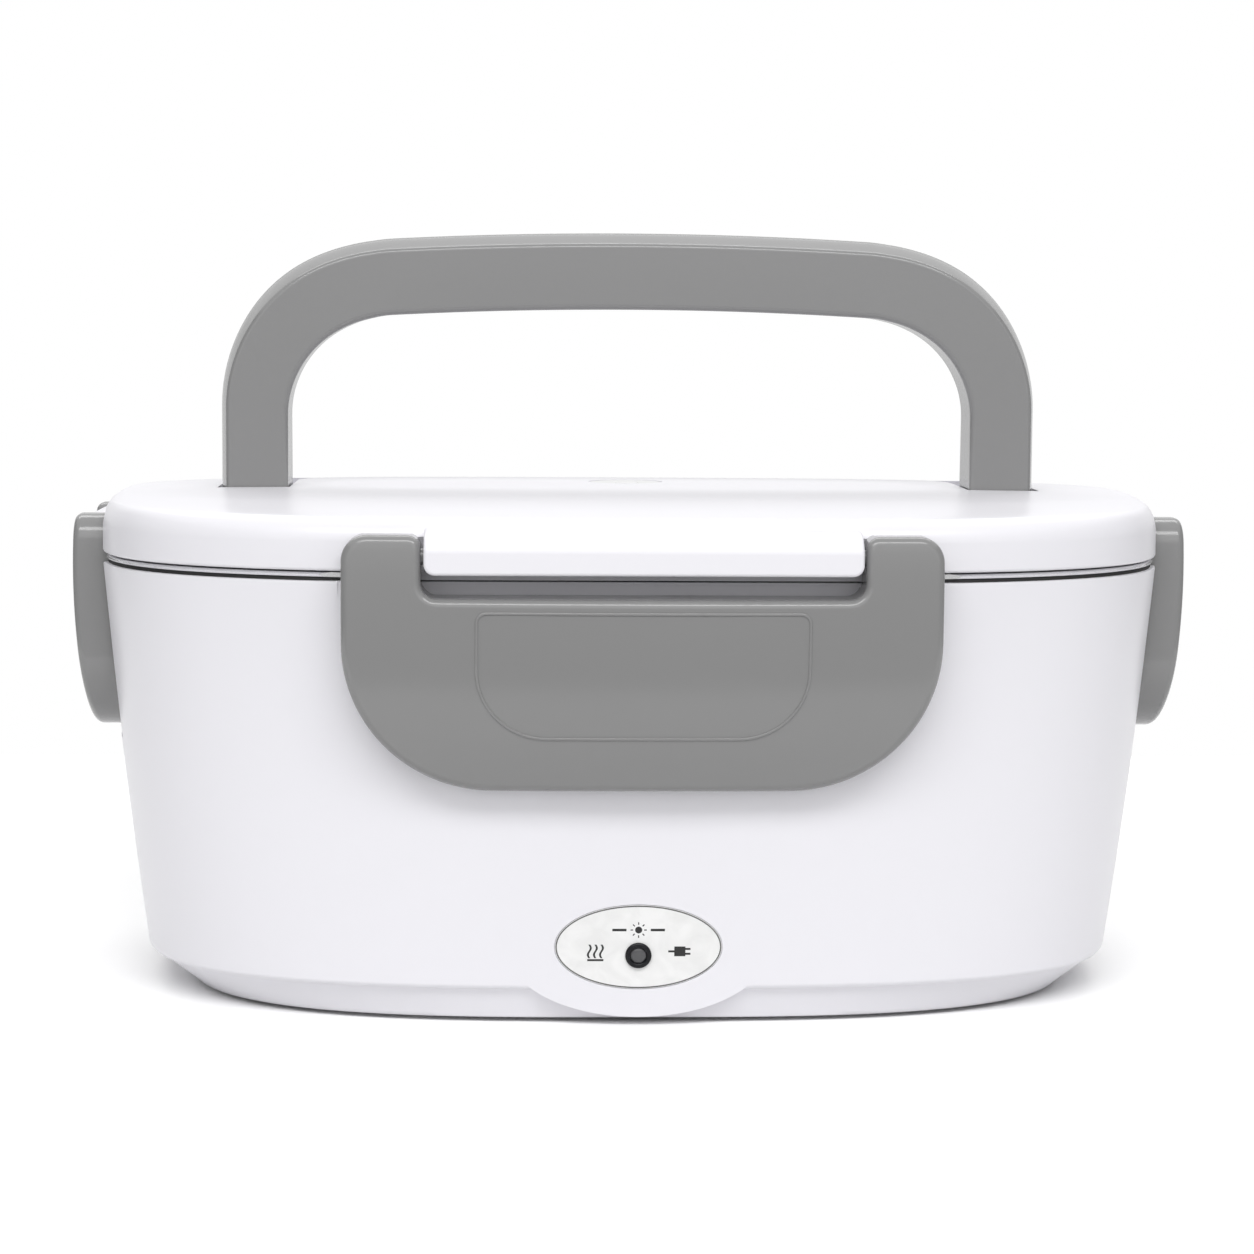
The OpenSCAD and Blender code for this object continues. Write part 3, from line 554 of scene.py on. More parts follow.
def runs_along(edge, axis):
    """Whether an edge lies along the X, Y or Z axis, numbered 0, 1 and 2."""
    direction = edge.verts[1].co - edge.verts[0].co
    return abs(direction[axis]) > 0.99 * direction.length


def round_edges(piece, width, segments, test):
    """Rounds the edges that pass the test with a bevel of one width."""
    pick(piece, "EDGE", test)
    bpy.ops.mesh.bevel(offset=width, segments=segments, affect="EDGES", clamp_overlap=False)
    bpy.ops.object.mode_set(mode="OBJECT")


def section_across(piece, axis, places):
    """Cuts a mesh across one axis at each place, so that it can bend between them."""
    pick(piece, "FACE", lambda middle, face: True)
    for place in places:
        bpy.ops.mesh.select_all(action="SELECT")
        point = [0, 0, 0]
        point[axis] = place
        direction = [0, 0, 0]
        direction[axis] = 1
        bpy.ops.mesh.bisect(plane_co=point, plane_no=direction)
    bpy.ops.object.mode_set(mode="OBJECT")


def ease(share):
    """0 below 0, 1 above 1, and a smooth rise between them."""
    share = min(1, max(0, share))
    return share * share * (3 - 2 * share)


def steps(low, high, count):
    """Places from low to high with this many equal gaps."""
    return [low + (high - low) * k / count for k in range(count + 1)]


def arch_drop(across):
    """How much lower the handle's bar lies at a place across than in its middle."""
    drop = ARCH * min(1, across / ARCH_REACH) ** 2
    return drop * (1 - 0.6 * ease((across - ARCH_REACH - 0.003) / 0.024))


def end_shoulder(height):
    """How far the lid's ends have drawn in at a height."""
    rise = min(1, max(0, (height - END_SHOULDER_Z) / (END_SHOULDER_TOP - END_SHOULDER_Z)))
    return SHOULDER_IN * (1 - math.sqrt(1 - rise * rise))


def fold_block(name, half_width, near, far, low, high, radius):
    """A block whose two far upright edges are rounded, as the folded handle's outline is."""
    piece = block(name, (-half_width, near, low), (half_width, far, high))
    round_edges(piece, radius, 40, lambda middle, edge: runs_along(edge, 2) and middle.y > far - 1e-4)
    return piece


shoulder = []
for step in range(9):
    lean = math.pi / 2 * step / 8
    height = SHOULDER_Z + (SHOULDER_TOP - SHOULDER_Z) * math.sin(lean)
    shoulder.append((SHOULDER_IN * (1 - math.cos(lean)), height, end_shoulder(height)))
dome = ((0.008, 0.1016), (0.014, 0.10185), (0.020, 0.1021), (0.026, 0.1025), (0.029, 0.1027))
for inset, height in dome:
    shoulder.append((inset, height, end_shoulder(height)))
lid = loft("lid_body", [
    (0.0142, 0.0882), (0.0142, 0.0934), (0.0022, 0.0934), (0.0022, LID_Z + 0.0001), (0.0021, LID_Z),
    (0.0006, LID_Z), (0.0002, LID_Z + 0.0002), (0, LID_Z + 0.0006), *shoulder,
    (0.031, 0.10284, 0.0060), (0.034, 0.1030, 0.012), (0.039, 0.10328, 0.018), (0.044, 0.1035, 0.024),
    (0.050, 0.10362, 0.034), (0.060, LID_TOP, 0.045),
])
for side, (reach, root, high, ear_reach, corner) in TONGUES.items():
    latch_half, flat, _, turn = LATCH_PLACES[side]
    half_width = latch_half - EAR_WIDTH[side] - 0.0006
    hinge = PEG_REACH[side]
    rise = high - 0.0951
    stretch = (reach - root) / rise
    tongue = block("tongue", (-half_width, reach - (reach - flat + 0.0006) / stretch, LID_Z + 0.0001),
                   (half_width, reach, high))
    round_edges(tongue, rise, 14, lambda middle, edge: runs_along(edge, 0)
                and middle.y > reach - 1e-4 and middle.z > high - 1e-4)
    pick(tongue, "VERT", lambda middle, vertex: True)
    bpy.ops.transform.resize(value=(1, stretch, 1), center_override=(0, reach, 0))
    bpy.ops.object.mode_set(mode="OBJECT")
    round_edges(tongue, corner, 6,
                lambda middle, edge: runs_along(edge, 1) and middle.z < LID_Z + 0.0002)
    round_edges(tongue, 0.0007, 4, lambda middle, edge: middle.y > reach - 0.0115
                and edge.is_manifold and edge.calc_face_angle() > 0.7)
    combine(lid, turn_about_z(tongue, turn), "UNION")
    skirt = block("skirt", (-latch_half, flat - 0.0009, RIM_Z + 0.0001),
                  (latch_half, flat, LID_Z + 0.001))
    combine(lid, turn_about_z(skirt, turn), "UNION")
    for sign in (-1, 1):
        ear_room = rod("ear_room", ear_reach, (sign * half_width, hinge, PEG_Z),
                       (sign * (latch_half + 0.0005), hinge, PEG_Z), 64)
        combine(lid, turn_about_z(ear_room, turn), "DIFFERENCE")

groove = fold_block("groove", half_width=HANDLE_HALF_WIDTH + GROOVE_GAP,
                    near=HINGE_Y - HANDLE_DEPTH / 2 - GROOVE_GAP,
                    far=HINGE_Y + HANDLE_TOP - HINGE_Z + GROOVE_GAP,
                    low=GROOVE_Z, high=0.12, radius=HANDLE_ROUND + GROOVE_GAP)
island = fold_block("island", half_width=HANDLE_HALF_WIDTH - LEG_WIDTH - GROOVE_GAP,
                    near=-0.03, far=HINGE_Y + BAR_LOW - HINGE_Z - GROOVE_GAP,
                    low=0.08, high=0.13, radius=HANDLE_INNER_ROUND - GROOVE_GAP)
section_across(island, 0, steps(-0.0525, 0.0525, 14))
for vertex in island.data.vertices:
    if vertex.co.y > 0:
        vertex.co.y -= arch_drop(abs(vertex.co.x))
combine(groove, island, "DIFFERENCE")
combine(lid, groove, "DIFFERENCE")
vent_seat = rod("vent_seat", VENT_SEAT_RADIUS, (0, VENT_Y, VENT_SEAT_Z), (0, VENT_Y, 0.11), 96)
combine(lid, vent_seat, "DIFFERENCE")
vent_bore = rod("vent_bore", VENT_BORE_RADIUS, (0, VENT_Y, 0.08), (0, VENT_Y, 0.11), 64)
combine(lid, vent_bore, "DIFFERENCE")
even_shading(lid)
finish_piece(lid, "lid", body_white, "body_white", "lid_shell")

# ---- Handle ------------------------------------------------------------------
# The grey moulded carrying handle, a U with a crowned outer face and softened edges
# whose bar rises towards the middle. Its round leg ends turn on steel pins.
CROWN = 0.0025
CROWN_POWER = 1.25
LEG_CROWN = 0.65
INNER_BEVEL = 0.0012
OUTER_BEVEL = 0.0007
grip_grey = moulded_plastic("grip_grey", (0.243, 0.243, 0.243), 0.16, mottle=0.015)


def from_corner(place):
    """The way outwards to a place from the middle of the nearer corner's rounding.

    Beside the legs it is level, and above the bar upright.
    """
    return Vector((max(0, abs(place.x) - HANDLE_HALF_WIDTH + HANDLE_ROUND), 0,
                   max(0, place.z - HANDLE_TOP + HANDLE_ROUND)))


def bevel_rims(width, outer):
    """Rounds the handle's front and back edges, along its outer or its inner outline."""
    round_edges(handle, width, 4, lambda middle, edge: min(v.co.z for v in edge.verts) > HINGE_Z - 1e-5
                and abs(abs(middle.y - HINGE_Y) - HANDLE_DEPTH / 2) < 1e-5
                and edge.is_manifold and edge.calc_face_angle() > 0.5
                and (from_corner(middle).length > HANDLE_ROUND - 0.004) == outer)


near_y = HINGE_Y - HANDLE_DEPTH / 2
far_y = HINGE_Y + HANDLE_DEPTH / 2
low_z = HINGE_Z - HANDLE_DEPTH / 2
handle = block("carrying_handle", (-HANDLE_HALF_WIDTH, near_y, low_z),
               (HANDLE_HALF_WIDTH, far_y, HANDLE_TOP))
round_edges(handle, HANDLE_ROUND, 48,
            lambda middle, edge: runs_along(edge, 1) and middle.z > HANDLE_TOP - 1e-4)
inner_half = HANDLE_HALF_WIDTH - LEG_WIDTH
opening = block("opening", (-inner_half, near_y - 0.01, low_z - 0.01),
                (inner_half, far_y + 0.01, BAR_LOW))
round_edges(opening, HANDLE_INNER_ROUND, 32,
            lambda middle, edge: runs_along(edge, 1) and middle.z > BAR_LOW - 1e-4)
combine(handle, opening, "DIFFERENCE")
round_edges(handle, HANDLE_DEPTH / 2 * 0.999, 20,
            lambda middle, edge: runs_along(edge, 0) and middle.z < low_z + 1e-4)
bevel_rims(INNER_BEVEL, outer=False)
section_across(handle, 1, steps(near_y + 0.002, far_y - 0.002, 6))
section_across(handle, 2, steps(0.0985, 0.1015, 2))
for vertex in handle.data.vertices:
    out = from_corner(vertex.co)
    if out.length > HANDLE_ROUND - 1e-5:
        crown = CROWN * abs((vertex.co.y - HINGE_Y) / HANDLE_DEPTH * 2) ** CROWN_POWER
        crown *= LEG_CROWN + (1 - LEG_CROWN) * ease((vertex.co.z - 0.120) / 0.035)
        crown *= ease((vertex.co.z - HINGE_Z) / 0.003)
        out *= crown / out.length
        vertex.co.x -= math.copysign(out.x, vertex.co.x)
        vertex.co.z -= out.z
bevel_rims(OUTER_BEVEL, outer=True)
section_across(handle, 0, steps(-0.0525, 0.0525, 21))
section_across(handle, 2, steps(0.104, 0.120, 4))
for vertex in handle.data.vertices:
    vertex.co.z -= arch_drop(abs(vertex.co.x)) * ease((vertex.co.z - 0.105) / 0.025)
even_shading(handle)
finish_piece(handle, "handle", grip_grey, "grip_grey", "handle")

# ---- Latches -----------------------------------------------------------------
# Four grey snap latches, hollow at the back, with a notch between two ears that
# clip on the lid's tongue. The long ones have a fine raised line round a plain field.
LATCH_TOP = 0.0984
NOTCH_Z = 0.0863
LATCH_WALL = 0.0024
BULGE_Z = 0.087
PLAN_RADIUS = 0.560
PEG_RADIUS = 0.0016
PEG_LENGTH = 0.0065
EAR_OUTER_ROUND = 0.0050
EAR_INNER_ROUND = 0.0025
EAR_BACK_ROUND = 0.0035
NOTCH_ROUND = 0.0030
FACE_ROUND = 0.0015
FIELD_HALF = 0.0323
FIELD_LOW = 0.0589
FIELD_HIGH = 0.0840
FIELD_LINE = 0.0006
# Half width, back, front, lowest point, bottom radius, half width of the notch, bulge's radius
LONG_LATCH = (LATCH_LONG, 0.07355, 0.08570, LONG_LATCH_LOW, 0.029, 0.0427, 0.107)
END_LATCH = (LATCH_SHORT, 0.10635, 0.1169, END_LATCH_LOW, 0.018, 0.0150, 0.165)
LATCH_SHAPES = {"front": LONG_LATCH, "back": LONG_LATCH, "left": END_LATCH, "right": END_LATCH}


def bulge(piece, back, radius):
    """Draws the front in below and above the notch and towards both sides."""
    for vertex in piece.data.vertices:
        share = ease((vertex.co.y - back) / 0.0085)
        draw_in = (vertex.co.z - BULGE_Z) ** 2 / (2 * radius)
        draw_in += vertex.co.x ** 2 / (2 * PLAN_RADIUS)
        vertex.co.y -= share * draw_in


def field_line(front, back, bulge_radius):
    """The raised line round the plain field: a thin frame that stands just proud of the front."""
    frames = []
    for grow in (0, -FIELD_LINE):
        low = FIELD_LOW - grow
        high = FIELD_HIGH + grow
        frame_part = block("field_line", (-FIELD_HALF - grow, front - 0.0008 + grow * 3, low),
                           (FIELD_HALF + grow, front + 0.00025 - grow * 3, high))
        round_edges(frame_part, 0.0137 + grow, 18,
                    lambda middle, edge: runs_along(edge, 1) and middle.z < low + 1e-5)
        round_edges(frame_part, 0.0022 + grow, 6,
                    lambda middle, edge: runs_along(edge, 1) and middle.z > high - 1e-5)
        frames.append(frame_part)
    combine(frames[0], frames[1], "DIFFERENCE")
    line = frames[0]
    round_edges(line, 0.00024, 4, lambda middle, edge: min(v.co.y for v in edge.verts) > front + 0.0002)
    section_across(line, 0, steps(-0.016, 0.016, 8))
    section_across(line, 2, steps(0.074, 0.081, 3))
    bulge(line, back, bulge_radius)
    return line


def join_all(name, parts):
    """Joins parts into the first one, under a name."""
    clear_selection()
    for part in parts:
        part.select_set(True)
    bpy.context.view_layer.objects.active = parts[0]
    bpy.ops.object.join()
    parts[0].name = name
    return parts[0]


def make_latch(side):
    """One latch, modelled as if at the back, and turned to its side of the box."""
    half, back, front, low, radius, notch_half, bulge_radius = LATCH_SHAPES[side]
    hinge = PEG_REACH[side]
    latch = block("latch_" + side + "_moulding", (-half, back, low), (half, front, LATCH_TOP))
    round_edges(latch, radius, 36, lambda middle, edge: runs_along(edge, 1) and middle.z < low + 1e-4)
    round_edges(latch, EAR_OUTER_ROUND, 12,
                lambda middle, edge: runs_along(edge, 1) and middle.z > LATCH_TOP - 1e-4)
    notch = block("notch", (-notch_half, back - 0.01, NOTCH_Z),
                  (notch_half, front + 0.01, LATCH_TOP + 0.01))
    round_edges(notch, NOTCH_ROUND, 8,
                lambda middle, edge: runs_along(edge, 1) and middle.z < NOTCH_Z + 1e-4)
    combine(latch, notch, "DIFFERENCE")
    round_edges(latch, EAR_INNER_ROUND, 8, lambda middle, edge: runs_along(edge, 1)
                and middle.z > LATCH_TOP - 1e-4 and abs(middle.x) < notch_half + 1e-4)
    hollow_half = half - LATCH_WALL
    hollow_low = low + LATCH_WALL
    hollow_back = block("hollow_back", (-hollow_half, back - 0.01, hollow_low),
                        (hollow_half, front - LATCH_WALL, NOTCH_Z - LATCH_WALL))
    round_edges(hollow_back, radius - LATCH_WALL, 30,
                lambda middle, edge: runs_along(edge, 1) and middle.z < hollow_low + 1e-4)
    combine(latch, hollow_back, "DIFFERENCE")
    combine(latch, block("ear_back", (-half - 0.01, back - 0.01, 0.088),
                         (half + 0.01, hinge - 0.0048, LATCH_TOP + 0.01)), "DIFFERENCE")
    round_edges(latch, EAR_BACK_ROUND, 8, lambda middle, edge: runs_along(edge, 0)
                and middle.z > LATCH_TOP - 1e-4 and middle.y < hinge - 0.0045)
    round_edges(latch, FACE_ROUND, 6,
                lambda middle, edge: min(v.co.y for v in edge.verts) > front - 1e-6)
    section_across(latch, 0, steps(-half + 0.002, half - 0.002, round(half / 0.0022)))
    section_across(latch, 2, steps(low + 0.003, LATCH_TOP - 0.003, 16))
    bulge(latch, back, bulge_radius)
    rib_half = 0.6 * notch_half
    rib = block("rib", (-rib_half, back, NOTCH_Z - 0.007), (rib_half, front - 0.0012, NOTCH_Z - 0.0052))
    combine(latch, rib, "UNION")
    for sign in (-1, 1):
        peg = rod("peg", PEG_RADIUS, (sign * (notch_half - PEG_LENGTH), hinge, PEG_Z),
                  (sign * (notch_half + 0.002), hinge, PEG_Z), 32)
        combine(latch, peg, "UNION")
    even_shading(latch)
    if half == LATCH_LONG:
        line = field_line(front, back, bulge_radius)
        smooth(line, 60)
        join_all(latch.name, [latch, line])
    turn_about_z(latch, LATCH_PLACES[side][3])
    finish_piece(latch, "latch_" + side, grip_grey, "grip_grey", "latch_" + side)


for side in LATCH_SHAPES:
    make_latch(side)

# ---- Steel pot and gasket ----------------------------------------------------
# The lift-out food pot, drawn from thin stainless sheet. Its rolled rim rests on a
# black gasket on the body and shows as a bright line under the lid. The gasket reaches
# out to 1 mm inside the body's outside, so its black is also painted shade in the
# gap under the pot's rim.
POT_INSET = 0.010
POT_SHEET = 0.0008
POT_RIM_Z = 0.0895
POT_FLOOR_Z = 0.0346
POT_CORNER = 0.007
FLAT_REACH = 0.0275


def drawn_steel(name, tone, roughness, stretch):
    """Bare metal with fine streaks stretched along one direction and uneven gloss."""
    material, nodes, links, surface = surface_nodes(name)
    surface.inputs["Metallic"].default_value = 1
    surface.inputs["Base Color"].default_value = (tone, tone, tone * 1.01, 1)
    place = nodes.new("ShaderNodeTexCoord")
    stretched = nodes.new("ShaderNodeMapping")
    stretched.inputs["Scale"].default_value = stretch
    links.new(place.outputs["Object"], stretched.inputs["Vector"])
    streaks = noise(nodes, links, stretched.outputs["Vector"], 60, detail=3)
    uneven_gloss(nodes, links, surface, streaks, roughness, 0.3)
    fine_relief(nodes, links, surface, streaks, 0.05)
    return material


def soft_rubber(name, tone, roughness):
    """Matt rubber or silicone: mottled tone and a dusty, slightly rough skin."""
    return moulded_plastic(name, (tone, tone, tone), roughness, mottle=0.05, grain=0.12)


def pot_wall(height):
    """Inset of the pot's outer wall at a height."""
    return POT_INSET + TAPER * (POT_RIM_Z - height)


def trim_to_flats(piece, long_flat, end_flat, end_half=0.2):
    """Cuts straight sides where the latches' flats are."""
    trims = (
        (0.2, long_flat, 0), (0.2, long_flat, math.pi),
        (end_half, end_flat, math.pi / 2), (end_half, end_flat, -math.pi / 2),
    )
    for half, plane, turn in trims:
        tool = block("trim", (-half, plane, 0), (half, plane + 0.1, 0.2))
        combine(piece, turn_about_z(tool, turn), "DIFFERENCE")


pot_steel = drawn_steel("pot_steel", 0.86, 0.24, (1, 1, 12))
bottom_curve = []
for step in range(9):
    lean = math.pi / 2 * step / 8
    bottom_curve.append((POT_CORNER * (1 - math.sin(lean)), POT_CORNER * (1 - math.cos(lean))))
outside = [(pot_wall(POT_FLOOR_Z + up) + draw, POT_FLOOR_Z + up) for draw, up in bottom_curve]
inside = [(pot_wall(POT_FLOOR_Z + up) + POT_SHEET + draw, POT_FLOOR_Z + POT_SHEET + up)
          for draw, up in reversed(bottom_curve)]
pot = loft("pot_sheet", [
    *outside, (POT_INSET, POT_RIM_Z - 0.0002), (POT_INSET - 0.0002, POT_RIM_Z), (0.0016, POT_RIM_Z),
    (0.0008, POT_RIM_Z + 0.0001), (0.0005, POT_RIM_Z + 0.0005), (0.0008, POT_RIM_Z + 0.0009),
    (0.0011, POT_RIM_Z + 0.0010), (0.0015, POT_RIM_Z + 0.0009), (0.0018, POT_RIM_Z + 0.0006),
    (POT_INSET - 0.0004, POT_RIM_Z + 0.0006), (POT_INSET + 0.0003, POT_RIM_Z + 0.0004),
    (POT_INSET + POT_SHEET, POT_RIM_Z - 0.0004), *inside,
])
trim_to_flats(pot, FLAT_FRONT - 0.0010, FLAT_END - 0.0010, FLAT_REACH)
even_shading(pot)
finish_piece(pot, "base", pot_steel, "pot_steel", "steel_pot")

# The gasket's outer edge stands 1 mm inside the body's outside. Its black there is the rubber's own
# colour and also painted shade in the seam's gap.
gasket = loft("rim_gasket", [
    (0.0010, RIM_TOP - 0.0001), (0.0010, POT_RIM_Z - 0.0001), (0.0012, POT_RIM_Z - 0.00002),
    (0.0084, POT_RIM_Z - 0.00002), (0.0084, RIM_TOP - 0.0001), (0.0010, RIM_TOP - 0.0001),
], filled=False)
trim_to_flats(gasket, FLAT_FRONT - 0.0016, FLAT_END - 0.0016, FLAT_REACH)
even_shading(gasket)
# Black rubber whose colour also serves as the painted shade in the seam's gap
gasket_dark = soft_rubber("gasket_dark", 0.015, 0.6)
finish_piece(gasket, "base", gasket_dark, "gasket_dark", "pot_gasket")

# ---- Lid liner, seal and vent ------------------------------------------------
# A satin white tray screwed under the lid, with a soft silicone ring that presses
# on the pot's rim, and a silicone vent plug with a pull tab in the lid's top.
POST_X = 0.090
POST_Y = 0.051


def turned(name, profile, points=64):
    """A round closed solid about Z, extruded through rings of (radius, height)."""
    clear_selection()
    radius, height = profile[0]
    bpy.ops.mesh.primitive_circle_add(vertices=points, radius=radius, fill_type="NGON",
                                      location=(0, 0, height))
    piece = bpy.context.active_object
    piece.name = name
    settle(piece)
    bpy.ops.object.mode_set(mode="EDIT")
    bpy.ops.mesh.select_all(action="SELECT")
    for next_radius, next_height in profile[1:]:
        bpy.ops.mesh.extrude_region_move(TRANSFORM_OT_translate={"value": (0, 0, next_height - height)})
        grow = next_radius / radius
        bpy.ops.transform.resize(value=(grow, grow, 1), center_override=(0, 0, 0))
        radius, height = next_radius, next_height
    bpy.ops.mesh.select_all(action="SELECT")
    bpy.ops.mesh.normals_make_consistent(inside=False)
    bpy.ops.object.mode_set(mode="OBJECT")
    return piece


liner = loft("liner_tray", [
    (0.0145, 0.0856), (0.0135, 0.0857), (0.0126, 0.0862), (0.0122, 0.0871), (0.0122, 0.0912),
    (0.0120, 0.0915), (0.0116, 0.0916), (0.0028, 0.0916), (0.0026, 0.0918), (0.0026, 0.0932),
    (0.0138, 0.0932), (0.0138, 0.0872),
])
trim_to_flats(liner, FLAT_FRONT - 0.0026, FLAT_END - 0.0026)
for across in (-POST_X, POST_X):
    for along in (-POST_Y, POST_Y):
        screw_room = rod("screw_room", 0.0024, (across, along, 0.09), (across, along, 0.0924))
        combine(liner, screw_room, "DIFFERENCE")
combine(liner, rod("vent_room", VENT_BORE_RADIUS, (0, VENT_Y, 0.08), (0, VENT_Y, 0.11)), "DIFFERENCE")
even_shading(liner)
tub_white = moulded_plastic("tub_white", (0.80, 0.80, 0.80), 0.4)
finish_piece(liner, "lid", tub_white, "tub_white", "lid_liner")

seal_silicone = soft_rubber("seal_silicone", 0.78, 0.35)
seal = loft("seal_ring", [
    (0.0073, 0.0916), (0.0073, 0.0907), (0.0076, 0.0904), (0.0083, 0.0903), (0.0090, 0.0904),
    (0.0093, 0.0907), (0.0093, 0.0916), (0.0073, 0.0916),
], filled=False)
even_shading(seal)
finish_piece(seal, "lid", seal_silicone, "seal_silicone", "lid_seal")

plug = turned("vent_cap", [
    (0.0024, 0.0955), (0.0036, 0.0955), (0.0039, 0.0958), (0.0039, 0.1020), (0.0077, 0.1020),
    (0.0080, 0.1022), (0.0080, 0.1033), (0.0079, 0.1035), (0.0077, 0.1036), (0.0010, 0.1036),
])
tab = block("tab", (-0.0025, -0.0065, 0.1034), (0.0025, -0.0035, 0.1039))
apply_modifier(tab, "BEVEL", width=0.0003, segments=3, limit_method="ANGLE",
               angle_limit=math.radians(40), use_clamp_overlap=False, miter_outer="MITER_ARC")
combine(plug, tab, "UNION")
plug.data.transform(Matrix.Translation((0, VENT_Y, 0)))
even_shading(plug)
finish_piece(plug, "vent", seal_silicone, "seal_silicone", "vent_plug")

# ---- Label and lamp ----------------------------------------------------------
# A pale oval film plate let into the apron, with a dark printed outline and plain
# signs, round a smoked lamp lens in a satin black ring.
PRINT_LOW = -0.00006
PRINT_HIGH = -0.00003
OUTLINE_EDGE = 0.0001
OUTLINE_WIDTH = 0.00026
LAMP_DROP = 0.0017
SUN_Y = 0.0035
SUN_REACH = 0.00135


def label_film():
    """Pale film with faint cloudy marbling and a satin surface."""
    material, nodes, links, surface = surface_nodes("label_film")
    surface.inputs["Roughness"].default_value = 0.35
    place = nodes.new("ShaderNodeTexCoord")
    cloud = noise(nodes, links, place.outputs["Object"], 170, detail=3)
    cloud.inputs["Distortion"].default_value = 1.2
    tone = nodes.new("ShaderNodeValToRGB")
    tone.color_ramp.elements[0].position = 0.35
    tone.color_ramp.elements[0].color = (0.83, 0.83, 0.825, 1)
    tone.color_ramp.elements[1].position = 0.65
    tone.color_ramp.elements[1].color = (0.90, 0.90, 0.895, 1)
    links.new(cloud.outputs["Fac"], tone.inputs["Fac"])
    links.new(tone.outputs["Color"], surface.inputs["Base Color"])
    return material


def bar_sign(across, up, length, width, turn=0):
    """One straight printed stroke on the label, drawn flat about its middle."""
    stroke = block("stroke", (-length / 2, -width / 2, PRINT_LOW), (length / 2, width / 2, PRINT_HIGH))
    stroke.data.transform(Matrix.Translation((across, up, 0)) @ Matrix.Rotation(turn, 4, "Z"))
    return stroke


def wave_sign(across, up, height, width):
    """One rising wavy heat stroke."""
    wave = block("wave", (-width / 2, -height / 2, PRINT_LOW), (width / 2, height / 2, PRINT_HIGH))
    section_across(wave, 1, steps(-height * 0.45, height * 0.45, 12))
    for vertex in wave.data.vertices:
        vertex.co.x += 0.00028 * math.sin(vertex.co.y / height * 2 * math.pi)
    wave.data.transform(Matrix.Translation((across, up, 0)))
    return wave


label = oval_prism("label_film_plate", LABEL_HALF, -0.00055, -0.00005, 128)
lamp_room = rod("lamp_room", 0.0023, (0, -LAMP_DROP, -0.01), (0, -LAMP_DROP, 0.01))
combine(label, lamp_room, "DIFFERENCE")
label.data.transform(front_plane(LABEL_Z))
even_shading(label)
finish_piece(label, "base", label_film(), "label_pale", "label_plate")

outline_half = (LABEL_HALF[0] - OUTLINE_EDGE, LABEL_HALF[1] - OUTLINE_EDGE)
outline = oval_prism("outline", outline_half, PRINT_LOW, PRINT_HIGH, 128)
hole_half = (outline_half[0] - OUTLINE_WIDTH, outline_half[1] - OUTLINE_WIDTH)
outline_hole = oval_prism("outline_hole", hole_half, PRINT_LOW - 0.001, PRINT_HIGH + 0.001, 128)
combine(outline, outline_hole, "DIFFERENCE")
outline.data.transform(front_plane(LABEL_Z))
printed_grey = moulded_plastic("printed_grey", (0.10, 0.10, 0.10), 0.4)
finish_piece(outline, "base", printed_grey, "socket_black")

# Heat strokes over a base line on the left
signs = [wave_sign(-0.0085 + k * 0.0012, -0.0009, 0.0028, 0.0004) for k in (-1, 0, 1)]
signs.append(bar_sign(-0.0085, -0.0027, 0.0032, 0.0004))
# A plug with two pins and a lead on the right
signs.append(bar_sign(0.0082, -0.0009, 0.0022, 0.0020))
signs.append(bar_sign(0.0098, -0.0014, 0.0010, 0.0004))
signs.append(bar_sign(0.0098, -0.0004, 0.0010, 0.0004))
signs.append(bar_sign(0.0065, -0.0009, 0.0012, 0.0004))
# A dot with eight rays above the lamp, between two strokes
dot = oval_prism("dot", (0.0007, 0.0007), PRINT_LOW, PRINT_HIGH, 32)
dot.data.transform(Matrix.Translation((0, SUN_Y, 0)))
signs.append(dot)
for k in range(8):
    ray_turn = k * math.pi / 4
    signs.append(bar_sign(SUN_REACH * math.cos(ray_turn), SUN_Y + SUN_REACH * math.sin(ray_turn),
                          0.0005, 0.00022, ray_turn))
signs.append(bar_sign(-0.0038, SUN_Y, 0.0028, 0.0005))
signs.append(bar_sign(0.0038, SUN_Y, 0.0028, 0.0005))
signs = join_all("label_signs", signs)
signs.data.transform(front_plane(LABEL_Z))
printed_black = moulded_plastic("printed_black", (0.012, 0.012, 0.012), 0.4)
finish_piece(signs, "base", printed_black, "socket_black")

ring_black = moulded_plastic("ring_black", (0.006, 0.006, 0.008), 0.3)
ring_black.node_tree.nodes["Principled BSDF"].inputs["Specular IOR Level"].default_value = 0.25
at_lamp = front_plane(LABEL_Z) @ Matrix.Translation((0, -LAMP_DROP, 0))
bezel = turned("lamp_ring", [
    (0.00226, -0.007), (0.00226, 0.0), (0.0026, 0.0), (0.0026, 0.0003), (0.0025, 0.0005),
    (0.0023, 0.0006), (0.0019, 0.0006), (0.0017, 0.0005), (0.0016, 0.0003), (0.0016, -0.006),
])
bezel.data.transform(at_lamp)
even_shading(bezel)
finish_piece(bezel, "base", ring_black, "socket_black", "lamp_bezel")

lamp_smoke = moulded_plastic("lamp_smoke", (0.10, 0.10, 0.105), 0.12, mottle=0.08)
smoke_shader = lamp_smoke.node_tree.nodes["Principled BSDF"]
smoke_shader.inputs["Transmission Weight"].default_value = 0.15
smoke_shader.inputs["IOR"].default_value = 1.49
lens = turned("lamp_window", [
    (0.00158, -0.0034), (0.00158, 0.0002), (0.0015, 0.00028), (0.0012, 0.00042), (0.0008, 0.00053),
    (0.0003, 0.00058),
], 48)
lens.data.transform(at_lamp)
smooth(lens, 60)
finish_piece(lens, "base", lamp_smoke, "lamp_smoke", "lamp_lens")

# ---- Sockets -----------------------------------------------------------------
# Two black moulded power sockets in the back: a two-pin one for mains in a deep
# oval recess, and a small round one for a car's supply.
SOCKET_LIP = 0.0014
AC_LIP = (0.026, 0.017)
AC_RECESS = (0.0166, 0.0084)
socket_black = moulded_plastic("socket_black", (0.012, 0.012, 0.013), 0.14)

